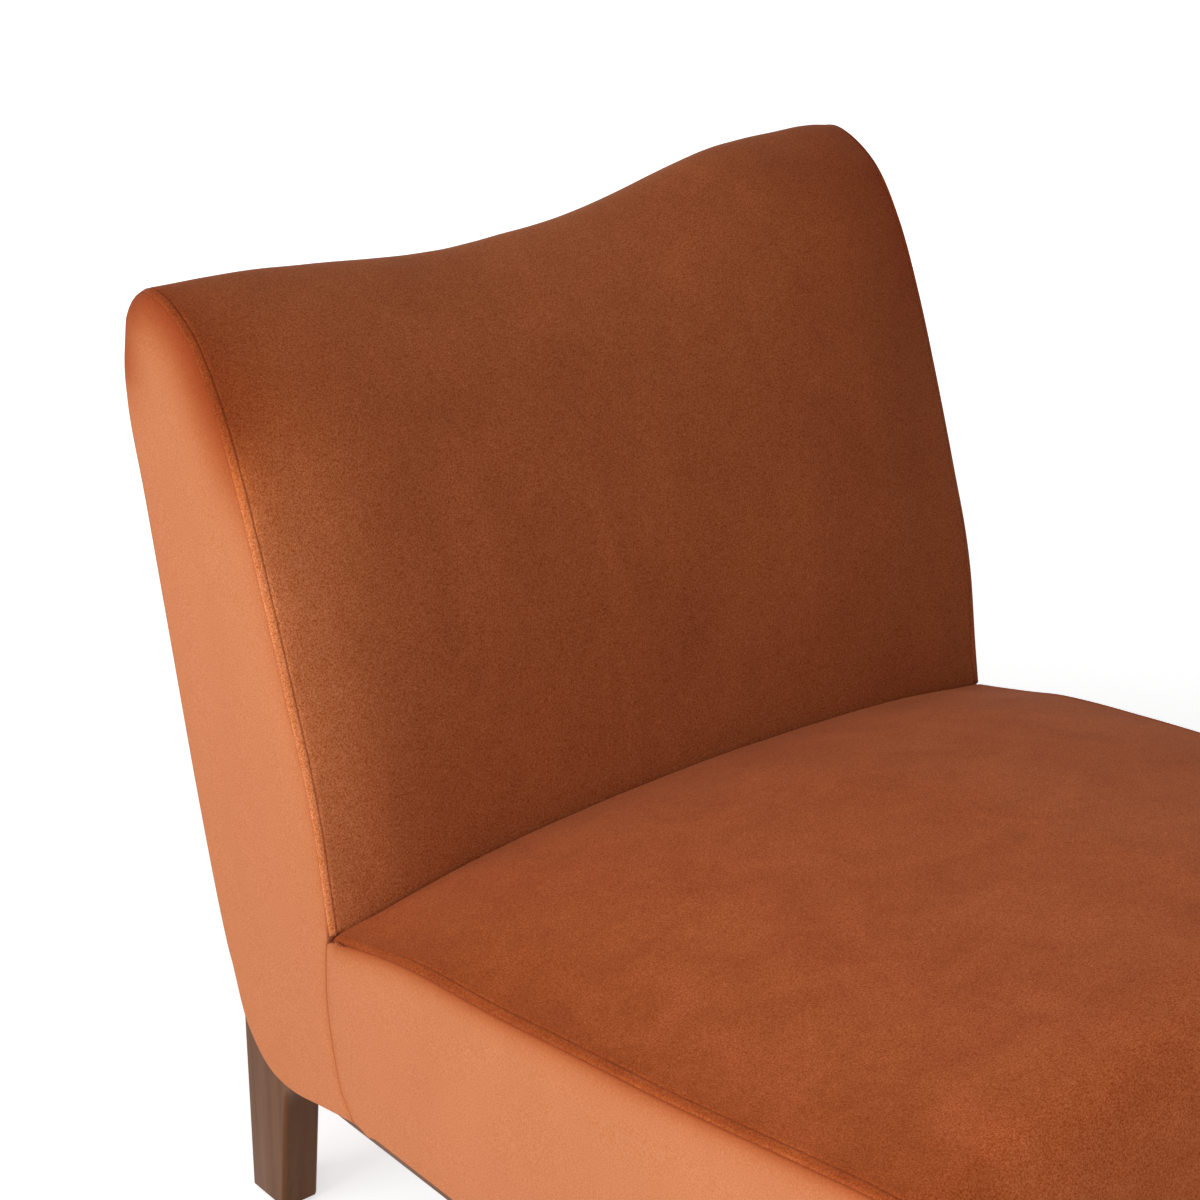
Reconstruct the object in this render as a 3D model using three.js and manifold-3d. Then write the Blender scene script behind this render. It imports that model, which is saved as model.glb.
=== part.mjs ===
// Slipper chair: armless, with a saddle-topped leaning back, a crowned seat that rolls down at the
// front, velvet covers with topstitched side bands, and four tapered legs under inset wooden rails.
// Millimetres, +Z up, +Y to the rear, origin on the floor under the middle of the chair.

import * as THREE from 'three';
import { mergeVertices } from 'three/addons/utils/BufferGeometryUtils.js';
import Module from 'manifold-3d';

const wasm = await Module();
wasm.setup();

// Whole chair
const bodyWidth = 640;
const chairDepth = 851;
const bodyUnderside = 160;
const fitGap = 0.3;

// Seat, along its side edge
const seatJointHeight = 303;
const seatEdgeRise = 85;
const seatCrown = 42;
const frontBulge = 9;
const rearCrownShare = 0.66;
const crownFullShare = 0.35;
const seatPillowPower = 2.5;

// Back, along its side edge
const backLean = 240;
const backRise = 415;
const backTuckShare = 0.47;
const backCrown = 12;
const backPillowPower = 4;
const swellShares = [0.12, 0.4];
const swellFadeShares = [0.8, 1];
const saddleDip = 26;
const saddleFade = 122;
const shoulderReach = 250;
const shoulderLift = 6;
const shoulderFade = 45;

// Covers
const coverThickness = 4;
const bandHeight = 1.2;
const bandEdgeDrop = 1.8;
const stitchGroove = 0.5;
const bandBlendWidth = 7;
const sidePanelThickness = 12;
const bandWidthShare = 0.92;
const rearEaseShare = 0.75;
const seamEase = 2.5;
const hemDrop = 2;
const cornerSag = 14;

// Seat frame
const frameRailThickness = 34;
const frontRailThickness = 26;
const frontPadding = 12;
const frontFoamHeight = 78;
const footClearance = 2;
const rearRailThickness = 26;
const rearPadding = 9;
const postOverhang = 16;
const cornerBlockLeg = 62;
const cornerBlockDrop = 13;
const frameEase = 2;

// Seat suspension
const springCount = 4;
const springWire = 4;
const springWidth = 48;
const springTurns = 12;
const springStepsPerTurn = 8;
const springSides = 5;
const springSpacing = 118;
const clipThickness = 1.2;
const clipWidth = 16;
const clipReach = 15;
const insulatorThickness = 2;
const dustCoverThickness = 1;

// Back frame and its webbing
const postDepth = 45;
const topRailHeight = 54;
const topRailSetDown = 36;
const topRailChamfer = 8;
const lumbarRailDrop = 41;
const lumbarRailHeight = 48;
const lumbarRailThickness = 24;
const strapWidth = 50;
const strapThickness = 1.6;
const strapPitchShares = [0.13, 0.41, 0.69, 0.97];

// Wooden base
const baseInset = 20;
const baseRailHeight = 30;
const baseRailThickness = 20;
const baseRailSetback = 8;
const legThickness = 32;
const legTopDepth = 52;
const legFootDepth = 42;
const legFillet = 30;
const legShoulder = 50;
const frontLegSetback = 25;
const legCheekRise = 76;
const legCheekTip = 6.5;
const legEase = 2;
const glideThickness = 3;
const glideRadius = 11;
const boltRadius = 4;
const boltClearance = 0.4;
const boltInLeg = 22;
const boltInFrame = 34;
const boltSetIn = 16;

// Fineness of the rounds
const roundSides = 16;
const filletSteps = 5;
const sagSteps = 6;
const strapSteps = 4;
const endSpare = 6;

// Places that follow from the sizes above
const halfWidth = bodyWidth / 2;
const frontY = frontBulge - chairDepth / 2;
const rearY = chairDepth / 2;
const jointY = rearY - backLean;
const seatLength = jointY - frontY;
const backTop = seatJointHeight + backRise;
const topRailTop = backTop - topRailSetDown;
const postTopHeight = topRailTop - topRailHeight;
const bandWidth = bandWidthShare * sidePanelThickness;
const rearEase = rearEaseShare * sidePanelThickness;
const frameHalfWidth = halfWidth - sidePanelThickness - fitGap;
const frameInnerX = frameHalfWidth - frameRailThickness;
const baseOuterX = halfWidth - baseInset;
const baseBottom = bodyUnderside - baseRailHeight;
const baseTop = bodyUnderside - fitGap;
const legInnerX = baseOuterX - legThickness;
const frontLegFaceY = frontY + frontLegSetback;
const boltX = baseOuterX - boltSetIn;
const boltFoot = bodyUnderside - boltInLeg;
const boltHead = bodyUnderside + boltInFrame;
const legCheekHeight = bodyUnderside + legCheekRise;
const legReach = legTopDepth + legShoulder;
const frontRailFaceY = frontY + coverThickness + frontPadding;
const frontRailRearY = frontRailFaceY + frontRailThickness;
const jointDrop = seatJointHeight - bodyUnderside;
const backTuck = backTuckShare * jointDrop;
const frontRailTop = seatJointHeight + seatEdgeRise - frontFoamHeight;
const clearOfCover = coverThickness + fitGap;
const frameDepth = coverThickness + 3 * fitGap;
const springRise = clipThickness + 2 * fitGap;
const clipRoof = springRise + springWire + fitGap;
const insulatorRise = clipRoof + clipThickness + fitGap;
const foamRise = insulatorRise + insulatorThickness + fitGap;
const padDepth = coverThickness + postDepth + strapThickness + 3 * fitGap;

const velvetSide = new THREE.MeshStandardMaterial({ color: 0xc0693c, roughness: 0.85, metalness: 0 });
const velvetFace = new THREE.MeshStandardMaterial({ color: 0x8f4524, roughness: 0.85, metalness: 0 });
const walnut = new THREE.MeshStandardMaterial({ color: 0x6b4a35, roughness: 0.5, metalness: 0 });
const frameWood = new THREE.MeshStandardMaterial({ color: 0xc9a877, roughness: 0.7, metalness: 0 });
const foam = new THREE.MeshStandardMaterial({ color: 0xe8dfc6, roughness: 0.95, metalness: 0 });
const blackCloth = new THREE.MeshStandardMaterial({ color: 0x2a2a2c, roughness: 0.95, metalness: 0 });
const webbing = new THREE.MeshStandardMaterial({ color: 0x4b4a46, roughness: 0.9, metalness: 0 });
const springSteel = new THREE.MeshStandardMaterial({ color: 0x6f7276, roughness: 0.35, metalness: 0.9 });
const nylon = new THREE.MeshStandardMaterial({ color: 0x35322f, roughness: 0.6, metalness: 0 });

const chair = new THREE.Group();

function add(name, geometry, material, parent = chair) {
  const mesh = new THREE.Mesh(geometry, material);
  mesh.name = name;
  parent.add(mesh);
  return mesh;
}

const at = (y, z) => new THREE.Vector2(y, z);

// Side outlines, as shares of the length and rise that they follow
const backFaceShares = [
  [0, 0], [0.071, 0.216], [0.183, 0.415], [0.292, 0.597], [0.392, 0.748], [0.496, 0.868],
  [0.62, 0.957], [0.79, 1], [0.92, 0.972], [0.985, 0.925], [1, 0.866],
];
const outsideBackShares = [[1, 0.86], [0.983, 0.76], [0.925, 0.624], [0.833, 0.379], [0.735, 0.118]];
const lowerBackShares = [[0.632, 0.354], [0.56, 0.682], [0.465, 0.905], [0.36, 1]];
const cornerStartShare = 0.57;
const seatTopShares = [
  [0.952, 0.985], [0.9, 1], [0.804, 0.894], [0.606, 0.659], [0.462, 0.518], [0.307, 0.365],
  [0.141, 0.235], [0, 0],
];
const seatFrontShares = [[0.988, 0.012], [1, 0.3], [1, 0.64], [0.992, 0.86]];
const seamBowShares = [[0.86, 0.12], [0.62, 0.22], [0.38, 0.13], [0.16, -0.28]];
const sagShares = [[0.49, 1.35], [0.38, -0.55], [0.25, -1], [0.1, -0.6]];

// Samples a smooth curve, keeping at each station its outward normal
function stationsAlong(points, stepsPerSpan) {
  const curve = new THREE.SplineCurve(points);
  const count = (points.length - 1) * stepsPerSpan;
  return Array.from({ length: count + 1 }, (_, i) => {
    const tangent = curve.getTangent(i / count);
    return { point: curve.getPoint(i / count), normal: at(-tangent.y, tangent.x) };
  });
}

const onBack = ([along, up]) => at(jointY + along * backLean, seatJointHeight + up * backRise);
const onLowerBack = ([along, down]) => at(jointY + along * backLean, seatJointHeight - down * jointDrop);
const onSeat = ([along, up]) => at(jointY - along * seatLength, seatJointHeight + up * seatEdgeRise);
const frontHeight = seatJointHeight + seatEdgeRise - bodyUnderside;
const onFront = ([along, up]) => at(jointY - along * seatLength, bodyUnderside + up * frontHeight);

const faceSlope = (backFaceShares[1][0] * backLean) / (backFaceShares[1][1] * backRise);
const backFoot = at(jointY - backTuck * faceSlope, seatJointHeight - backTuck);
const backFace = stationsAlong([backFoot, ...backFaceShares.map(onBack)], 2);
const outsideBack = stationsAlong([
  ...outsideBackShares.map(onBack), ...lowerBackShares.map(onLowerBack),
], 2);
const seatTop = stationsAlong([...seatFrontShares.map(onFront), ...seatTopShares.map(onSeat)], 2);

// How far back a curve through stations lies at one height, run on in line past its first station
function depthAt(stations, height) {
  const found = stations.findIndex(({ point }, i) => i > 0
    && (point.y - height) * (stations[i - 1].point.y - height) <= 0);
  const next = Math.max(found, 1);
  const from = stations[next - 1].point;
  const to = stations[next].point;
  return THREE.MathUtils.mapLinear(height, from.y, to.y, from.x, to.x);
}

// The seat deck falls from the front rail's top to just under the foot of the back's cover
const footTop = backFoot.y - foamRise - footClearance;
const deckSlope = (frontRailTop - footTop) / (backFoot.x - frontRailFaceY);
const deckAt = (y) => footTop + (backFoot.x - y) * deckSlope;

// Places that follow from the curve of the outside back
const rearRailRearY = depthAt(outsideBack, bodyUnderside) - clearOfCover - rearPadding;
const rearRailFrontY = rearRailRearY - rearRailThickness;
const rearLegFaceY = depthAt(outsideBack, legCheekHeight) + legCheekTip;
const postFrontY = rearLegFaceY - legReach - postOverhang;
const topRailFrontY = depthAt(outsideBack, postTopHeight) - coverThickness - postDepth;
const overTheTop = backFace.filter(({ normal }) => normal.x > 0);
const topRailRearY = Math.min(
  depthAt(outsideBack, postTopHeight), depthAt(overTheTop, topRailTop),
) - frameDepth;

// Lift of the back's top across the width: a dip in the middle between two shoulders
function topLift(x) {
  const outward = Math.min(Math.abs(x) / shoulderReach, 1);
  const dip = saddleDip * (1 + Math.cos(Math.PI * outward)) / 2;
  const shoulder = THREE.MathUtils.smoothstep(halfWidth - Math.abs(x), 0, shoulderFade);
  return shoulderLift * shoulder - dip;
}

function saddled(x, point) {
  const share = THREE.MathUtils.smoothstep(point.y, backTop - saddleFade, backTop);
  return at(point.x, point.y + topLift(x) * share);
}

// How far the outline has turned over the top to the rear, where the side edges are rounded more
const turned = (normal) => THREE.MathUtils.smoothstep(normal.x, 0, 1);

// One layer of the back at a place across the width, a given depth under the cover's face
function backLayer(stations, x, depth, rearDepth = 0) {
  const pillow = 1 - Math.abs(x / halfWidth) ** backPillowPower;
  return stations.map(({ point, normal }) => {
    const rise = (point.y - seatJointHeight) / backRise;
    const swell = THREE.MathUtils.smoothstep(rise, ...swellShares);
    const fade = 1 - THREE.MathUtils.smoothstep(rise, ...swellFadeShares);
    const out = normal.x < 0 ? backCrown * pillow * swell * fade : 0;
    const sunk = depth + rearDepth * turned(normal);
    return saddled(x, point.clone().addScaledVector(normal, out - sunk));
  });
}

// One layer of the seat: crowned on top, bulging a little at the front, and ending at the back's face
function seatLayer(x, depth, form = 0) {
  const pillow = 1 - Math.abs(x / halfWidth) ** seatPillowPower;
  const layer = seatTop.map(({ point, normal }) => {
    const forward = (jointY - point.x) / seatLength;
    const fullness = THREE.MathUtils.smoothstep(forward, 0, crownFullShare);
    const crown = seatCrown * THREE.MathUtils.lerp(rearCrownShare, 1, fullness);
    const rise = THREE.MathUtils.clamp((point.y - bodyUnderside) / frontHeight, 0, 1);
    const bulge = frontBulge * Math.sin(Math.PI * rise);
    const upward = THREE.MathUtils.clamp(normal.y, 0, 1);
    const out = pillow * THREE.MathUtils.lerp(bulge, crown, upward ** 2);
    return point.clone().addScaledVector(normal, out + form - depth);
  });
  const last = layer[layer.length - 1];
  last.x = depthAt(backFace, last.y) - Math.max(formAt.get(x) ?? 0, 0) - fitGap;
  return layer;
}

// Joins like outlines, one at each place across the width, into one closed solid. Every four-cornered
// facet is split alike on both faces of a cover, and alike left and right.
const reach = (point) => point.x + point.y;

function loftAcross(places, outlineAt) {
  const outlines = places.map(outlineAt);
  if (THREE.ShapeUtils.isClockWise(outlines[0])) outlines.forEach((outline) => outline.reverse());
  const size = outlines[0].length;
  const positions = outlines.flatMap((outline, i) => outline.flatMap(({ x, y }) => [places[i], x, y]));
  const index = [];
  for (let i = 0; i < places.length - 1; i += 1) {
    for (let j = 0; j < size; j += 1) {
      const k = (j + 1) % size;
      const a = i * size + j;
      const b = i * size + k;
      const outward = Math.abs(places[i]) < Math.abs(places[i + 1]);
      const rising = reach(outlines[i][j]) < reach(outlines[i][k]);
      if (outward === rising) index.push(a, b, b + size, a, b + size, a + size);
      else index.push(a, b, a + size, b, b + size, a + size);
    }
  }
  const lastRing = (places.length - 1) * size;
  for (const [a, b, c] of THREE.ShapeUtils.triangulateShape(outlines[0], [])) index.push(a, c, b);
  for (const [a, b, c] of THREE.ShapeUtils.triangulateShape(outlines[places.length - 1], [])) {
    index.push(lastRing + a, lastRing + b, lastRing + c);
  }
  const geometry = new THREE.BufferGeometry();
  geometry.setAttribute('position', new THREE.Float32BufferAttribute(positions, 3));
  geometry.setIndex(index);
  geometry.computeVertexNormals();
  return geometry;
}

// A flat-sided piece whose outline lies in the side view, with eased edges
const sideViewToWidth = new THREE.Matrix4().makeBasis(
  new THREE.Vector3(0, 1, 0), new THREE.Vector3(0, 0, 1), new THREE.Vector3(1, 0, 0),
);

function boardAcross(outline, startX, thickness, ease) {
  const geometry = new THREE.ExtrudeGeometry(new THREE.Shape(outline), {
    depth: thickness - 2 * ease,
    bevelEnabled: ease > 0,
    bevelThickness: ease,
    bevelSize: ease,
    bevelOffset: -ease,
    bevelSegments: 1,
  });
  geometry.translate(0, 0, startX + ease);
  return geometry.applyMatrix4(sideViewToWidth);
}

const rectangle = (y0, y1, z0, z1) => [at(y0, z0), at(y1, z0), at(y1, z1), at(y0, z1)];

// Solids for cutting
function toSolid(geometry) {
  const bare = geometry.clone();
  bare.deleteAttribute('normal');
  bare.deleteAttribute('uv');
  const merged = mergeVertices(bare);
  const vertProperties = new Float32Array(merged.attributes.position.array);
  const triVerts = new Uint32Array(merged.index.array);
  return new wasm.Manifold(new wasm.Mesh({ numProp: 3, vertProperties, triVerts }));
}

function toGeometry(solid) {
  const mesh = solid.getMesh();
  const geometry = new THREE.BufferGeometry();
  geometry.setAttribute('position', new THREE.BufferAttribute(mesh.vertProperties, 3));
  geometry.setIndex(new THREE.BufferAttribute(mesh.triVerts, 1));
  geometry.computeVertexNormals();
  return geometry;
}

function uprightCylinder(radius, x, y, bottom, top) {
  const geometry = new THREE.CylinderGeometry(radius, radius, top - bottom, roundSides);
  geometry.rotateX(Math.PI / 2);
  return geometry.translate(x, y, (bottom + top) / 2);
}

function drilled(geometry, x, y) {
  const bore = uprightCylinder(
    boltRadius + boltClearance, x, y, boltFoot - boltClearance, boltHead + boltClearance,
  );
  return toGeometry(toSolid(geometry).subtract(toSolid(bore)));
}

// Places across the width, close together at each side edge, with the share of its rounding there
const edgeTurns = [90, 60, 30, 0].map((degrees) => THREE.MathUtils.degToRad(degrees));
const edgeRounds = edgeTurns.map((turn) => [
  halfWidth - rearEase * (1 - Math.sin(turn)), 1 - Math.cos(turn),
]);
const innerPlaceShares = [0.93, 0.78, 0.6, 0.42, 0.25, 0.08];
const bandForms = [
  ...edgeRounds.map(([x, share]) => [x, THREE.MathUtils.lerp(bandHeight, -bandEdgeDrop, share)]),
  [halfWidth - bandWidth, bandHeight],
  [frameHalfWidth, -stitchGroove],
  [frameHalfWidth - bandBlendWidth, 0],
];
const innerForms = innerPlaceShares.map((share) => [share * (frameHalfWidth - bandBlendWidth), 0]);

function bothSides(forms) {
  const left = forms.map(([x, form]) => [-x, form]);
  return [...left, ...forms.slice().reverse()];
}

const coverForms = bothSides([...bandForms, ...innerForms]);
const formAt = new Map(coverForms);
const coverPlaces = coverForms.map(([x]) => x);
const isInside = ([x]) => x === frameHalfWidth || x <= frameHalfWidth - bandBlendWidth;
const fillPlaces = bothSides([...bandForms.filter(isInside), ...innerForms]).map(([x]) => x);
const roundAt = new Map(bothSides(edgeRounds));

// Covers

// The inside-back cover tucks down behind the seat, except at its edges, which end at the joint
function backCoverOutline(x) {
  const form = formAt.get(x);
  const rounded = rearEase * (roundAt.get(x) ?? 0);
  const outer = backLayer(backFace, x, -form, form + rounded);
  const inner = backLayer(backFace, x, coverThickness, rounded);
  if (Math.abs(x) >= frameHalfWidth) {
    const lowest = backFace.filter(({ point }) => point.y < seatJointHeight).length;
    for (let i = 0; i < lowest; i += 1) {
      const raise = (i - lowest) * fitGap;
      outer[i] = outer[lowest].clone().add(at(raise * faceSlope, raise));
      inner[i] = inner[lowest].clone().add(at(raise * faceSlope, raise));
    }
  }
  return [...outer, ...inner.reverse()];
}

const seatCoverOutline = (x) => [
  ...seatLayer(x, 0, formAt.get(x)),
  ...seatLayer(x, coverThickness).reverse(),
];

const outsideBackOutline = (x) => [
  ...backLayer(outsideBack, x, 0),
  ...backLayer(outsideBack, x, coverThickness).reverse(),
];

add('back_cover', loftAcross(coverPlaces, backCoverOutline), velvetFace);
add('seat_cover', loftAcross(coverPlaces, seatCoverOutline), velvetFace);
add('outside_back_cover', loftAcross(fillPlaces, outsideBackOutline), velvetSide);

const plainLayer = (stations, depth) => stations.map(
  ({ point, normal }) => point.clone().addScaledVector(normal, -depth),
);

// The upright seam where the side panels of back and seat meet
const hem = bodyUnderside - hemDrop;
const seamTop = at(jointY + clearOfCover, seatJointHeight - clearOfCover - 2 * bandHeight);
const seamFoot = at(jointY - baseInset, hem);
const seamPoints = [seamTop, ...seamBowShares.map(([up, bow]) => at(
  THREE.MathUtils.lerp(seamFoot.x, seamTop.x, up) + bow * baseInset,
  THREE.MathUtils.lerp(seamFoot.y, seamTop.y, up),
)), seamFoot];
const seamBeside = (offset) => seamPoints.map((point) => at(point.x + offset, point.y));

// Runs of a side panel's outline, each with how far its edge is rounded over
const eased = (points, ease) => points.map((point) => ({ point, ease }));
const aboveJoint = backFace.filter(({ point }) => point.y > seatJointHeight + clearOfCover);
const underCover = plainLayer(aboveJoint, clearOfCover).map((point, i) => ({
  point, ease: THREE.MathUtils.lerp(seamEase, rearEase, turned(aboveJoint[i].normal)),
}));
const cornerStart = seatJointHeight - cornerStartShare * jointDrop;
const aboveCorner = outsideBack.filter(({ point }) => point.y > cornerStart);
const sag = new THREE.SplineCurve(sagShares.map(
  ([along, drop]) => at(jointY + along * backLean, bodyUnderside + drop * cornerSag),
));
const backSideRuns = [
  ...underCover,
  ...eased(plainLayer(aboveCorner.slice(1), 0), rearEase),
  ...eased(sag.getPoints(sagSteps), seamEase),
  ...eased(seamBeside(fitGap / 2).reverse(), seamEase),
];
const frontHem = plainLayer(seatTop.slice(0, 1), clearOfCover)[0];
const seatSideRuns = [
  ...eased(plainLayer(seatTop.slice(0, -1), clearOfCover), seamEase),
  ...eased(seamBeside(-fitGap / 2), seamEase),
  ...eased([at(frontHem.x, hem)], seamEase),
];

// Draws an outline in at every point, by a share of that point's rounding
function drawnIn(runs, share) {
  const turn = THREE.ShapeUtils.isClockWise(runs.map(({ point }) => point)) ? 1 : -1;
  return runs.map(({ point, ease }, i) => {
    const before = runs[(i + runs.length - 1) % runs.length].point;
    const after = runs[(i + 1) % runs.length].point;
    const side = after.clone().sub(before).normalize();
    return at(point.x + turn * side.y * ease * share, point.y - turn * side.x * ease * share);
  });
}

function sidePanel(runs, side) {
  const rings = [[halfWidth - sidePanelThickness, 0], ...edgeRounds.slice().reverse()];
  const shares = new Map(rings.map(([x, share]) => [side * x, share]));
  const places = [...shares.keys()].sort((a, b) => a - b);
  return loftAcross(places, (x) => drawnIn(runs, shares.get(x)));
}

for (const [label, side] of [['left', -1], ['right', 1]]) {
  add(`back_side_panel_${label}`, sidePanel(backSideRuns, side), velvetSide);
  add(`seat_side_panel_${label}`, sidePanel(seatSideRuns, side), velvetSide);
}

// Foam
const foamLip = topRailTop + fitGap;
const foamRear = plainLayer(outsideBack, padDepth).filter(
  (point) => point.y < postTopHeight - endSpare && point.y > backFoot.y + endSpare,
);

function backFoamOutline(x) {
  const overTop = backFace.filter(({ point, normal }) => normal.x < 0 || point.y > foamLip + clearOfCover);
  const lip = [at(topRailRearY, foamLip), at(topRailFrontY - fitGap, foamLip)];
  return [
    ...backLayer(overTop, x, clearOfCover),
    ...lip.map((point) => saddled(x, point)),
    ...foamRear,
  ];
}

function seatFoamOutline(x) {
  const outer = seatLayer(x, clearOfCover).slice(1);
  const rearFootY = backFoot.x - 6 * fitGap;
  const behindRail = frontRailFaceY - fitGap;
  return [
    ...outer,
    at(rearFootY, deckAt(rearFootY) + foamRise),
    at(behindRail, deckAt(behindRail) + foamRise),
    at(behindRail - fitGap, outer[0].y),
  ];
}

add('back_foam', loftAcross(fillPlaces, backFoamOutline), foam);
add('seat_foam', loftAcross(fillPlaces, seatFoamOutline), foam);

// Back frame

const postLine = (depth, low, high) => plainLayer(outsideBack, depth).filter(
  (point) => point.y > low + endSpare && point.y < high - endSpare,
);
const layerOf = (stations, depth) => plainLayer(stations, depth).map((point) => ({ point }));
const postBack = layerOf(outsideBack, frameDepth);
const postOutline = [
  at(depthAt(outsideBack, postTopHeight) - frameDepth, postTopHeight),
  ...postLine(frameDepth, bodyUnderside, postTopHeight),
  at(rearRailRearY, bodyUnderside),
  at(postFrontY, bodyUnderside),
  at(postFrontY, deckAt(postFrontY)),
  ...postLine(coverThickness + postDepth, deckAt(postFrontY), postTopHeight).reverse(),
  at(topRailFrontY, postTopHeight),
];

// The top rail follows the saddle along its upper edge and sits flat on the posts
const topRailOutline = (x) => [
  at(topRailFrontY, postTopHeight + fitGap),
  at(topRailRearY, postTopHeight + fitGap),
  saddled(x, at(topRailRearY, topRailTop - topRailChamfer)),
  saddled(x, at(topRailRearY - topRailChamfer, topRailTop)),
  saddled(x, at(topRailFrontY + topRailChamfer, topRailTop)),
  saddled(x, at(topRailFrontY, topRailTop - topRailChamfer)),
];

const rearBoltY = rearLegFaceY - legReach + boltSetIn;
const frontBoltY = frontLegFaceY + legReach - boltSetIn;

for (const [label, side] of [['left', -1], ['right', 1]]) {
  const start = side < 0 ? -frameHalfWidth : frameInnerX;
  const post = boardAcross(postOutline, start, frameRailThickness, frameEase);
  add(`back_post_${label}`, drilled(post, side * boltX, rearBoltY), frameWood);
}
add('back_top_rail', loftAcross(fillPlaces, topRailOutline), frameWood);

const lumbarBottom = seatJointHeight - lumbarRailDrop;
const lumbarRear = depthAt(postBack, lumbarBottom);
const betweenPosts = 2 * (frameInnerX - fitGap);
add('back_lumbar_rail', boardAcross(
  rectangle(lumbarRear - lumbarRailThickness, lumbarRear, lumbarBottom, lumbarBottom + lumbarRailHeight),
  -betweenPosts / 2, betweenPosts, frameEase,
), frameWood);

// Webbing straps lie across the front of the posts
const postFace = layerOf(outsideBack, coverThickness + postDepth);
const strapSpan = postTopHeight - strapWidth - seatJointHeight;
strapPitchShares.forEach((share, i) => {
  const bottom = seatJointHeight + share * strapSpan;
  const rear = Array.from({ length: strapSteps + 1 }, (_, step) => {
    const height = bottom + strapWidth * step / strapSteps;
    return at(depthAt(postFace, height) - fitGap, height);
  });
  const front = rear.map((point) => at(point.x - strapThickness, point.y));
  const outline = [...rear, ...front.reverse()];
  add(`back_strap_${i + 1}`, boardAcross(outline, -frameHalfWidth, 2 * frameHalfWidth, 0), webbing);
});

// Seat frame

const sideRailRise = insulatorRise - fitGap;
const sideRailOutline = [
  at(frontRailRearY + fitGap, bodyUnderside),
  at(postFrontY - fitGap, bodyUnderside),
  at(postFrontY - fitGap, deckAt(postFrontY) + sideRailRise),
  at(frontRailRearY + fitGap, deckAt(frontRailRearY) + sideRailRise),
];
for (const [label, side] of [['left', -1], ['right', 1]]) {
  const start = side < 0 ? -frameHalfWidth : frameInnerX;
  const rail = boardAcross(sideRailOutline, start, frameRailThickness, frameEase);
  add(`seat_rail_${label}`, drilled(rail, side * boltX, frontBoltY), frameWood);
}

const frontRailOutline = [
  at(frontRailFaceY, bodyUnderside),
  at(frontRailRearY, bodyUnderside),
  at(frontRailRearY, deckAt(frontRailRearY)),
  at(frontRailFaceY, deckAt(frontRailFaceY)),
];
add('seat_rail_front', boardAcross(
  frontRailOutline, -frameHalfWidth, 2 * frameHalfWidth, frameEase,
), frameWood);

const rearRailOutline = [
  at(rearRailFrontY, bodyUnderside),
  at(rearRailRearY, bodyUnderside),
  at(rearRailRearY, deckAt(rearRailRearY)),
  at(rearRailFrontY, deckAt(rearRailFrontY)),
];
add('seat_rail_rear', boardAcross(rearRailOutline, -betweenPosts / 2, betweenPosts, frameEase), frameWood);

const cornerBlockHeight = deckAt(rearRailFrontY) - cornerBlockDrop - bodyUnderside;

function cornerBlock(sideX, railY) {
  const x = sideX * (frameInnerX - fitGap);
  const towardMiddle = -Math.sign(railY);
  const shape = new THREE.Shape([
    at(x, railY),
    at(x - sideX * cornerBlockLeg, railY),
    at(x - sideX * frameRailThickness / 2, railY + towardMiddle * cornerBlockLeg),
    at(x, railY + towardMiddle * cornerBlockLeg),
  ]);
  const geometry = new THREE.ExtrudeGeometry(shape, {
    depth: cornerBlockHeight,
    bevelEnabled: false,
  });
  return geometry.translate(0, 0, bodyUnderside);
}

for (const [label, side] of [['left', -1], ['right', 1]]) {
  add(`corner_block_front_${label}`, cornerBlock(side, frontRailRearY + fitGap), frameWood);
  add(`corner_block_rear_${label}`, cornerBlock(side, rearRailFrontY - fitGap), frameWood);
}

// Sinuous springs lie along the sloping deck, from the front rail's top to the rear rail's
class SinuousLine extends THREE.Curve {
  constructor(length) {
    super();
    this.length = length;
  }

  getPoint(t) {
    const angle = 2 * Math.PI * springTurns * t;
    const sway = springWidth / 2 * Math.sin(angle);
    return new THREE.Vector3(sway, (t - 0.5) * this.length, 0);
  }
}

const deckRun = rearRailRearY - frontRailFaceY;
const deckLength = Math.hypot(deckRun, deckRun * deckSlope);
const springLength = deckLength - 2 * (clipThickness + springWire);
const springSection = new THREE.Shape(Array.from({ length: springSides }, (_, i) => {
  const angle = 2 * Math.PI * i / springSides;
  return at(springWire / 2 * Math.cos(angle), springWire / 2 * Math.sin(angle));
}));
const springGeometry = new THREE.ExtrudeGeometry(springSection, {
  steps: springTurns * springStepsPerTurn,
  extrudePath: new SinuousLine(springLength),
});

// A clip is a folded steel strip, nailed to the rail, that holds the wire's end under its roof
const clipOutline = [
  at(-clipThickness, fitGap),
  at(clipReach, fitGap),
  at(clipReach, fitGap + clipThickness),
  at(0, fitGap + clipThickness),
  at(0, clipRoof),
  at(clipReach, clipRoof),
  at(clipReach, clipRoof + clipThickness),
  at(-clipThickness, clipRoof + clipThickness),
];
const clipGeometry = boardAcross(clipOutline, -clipWidth / 2, clipWidth, 0);

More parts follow.
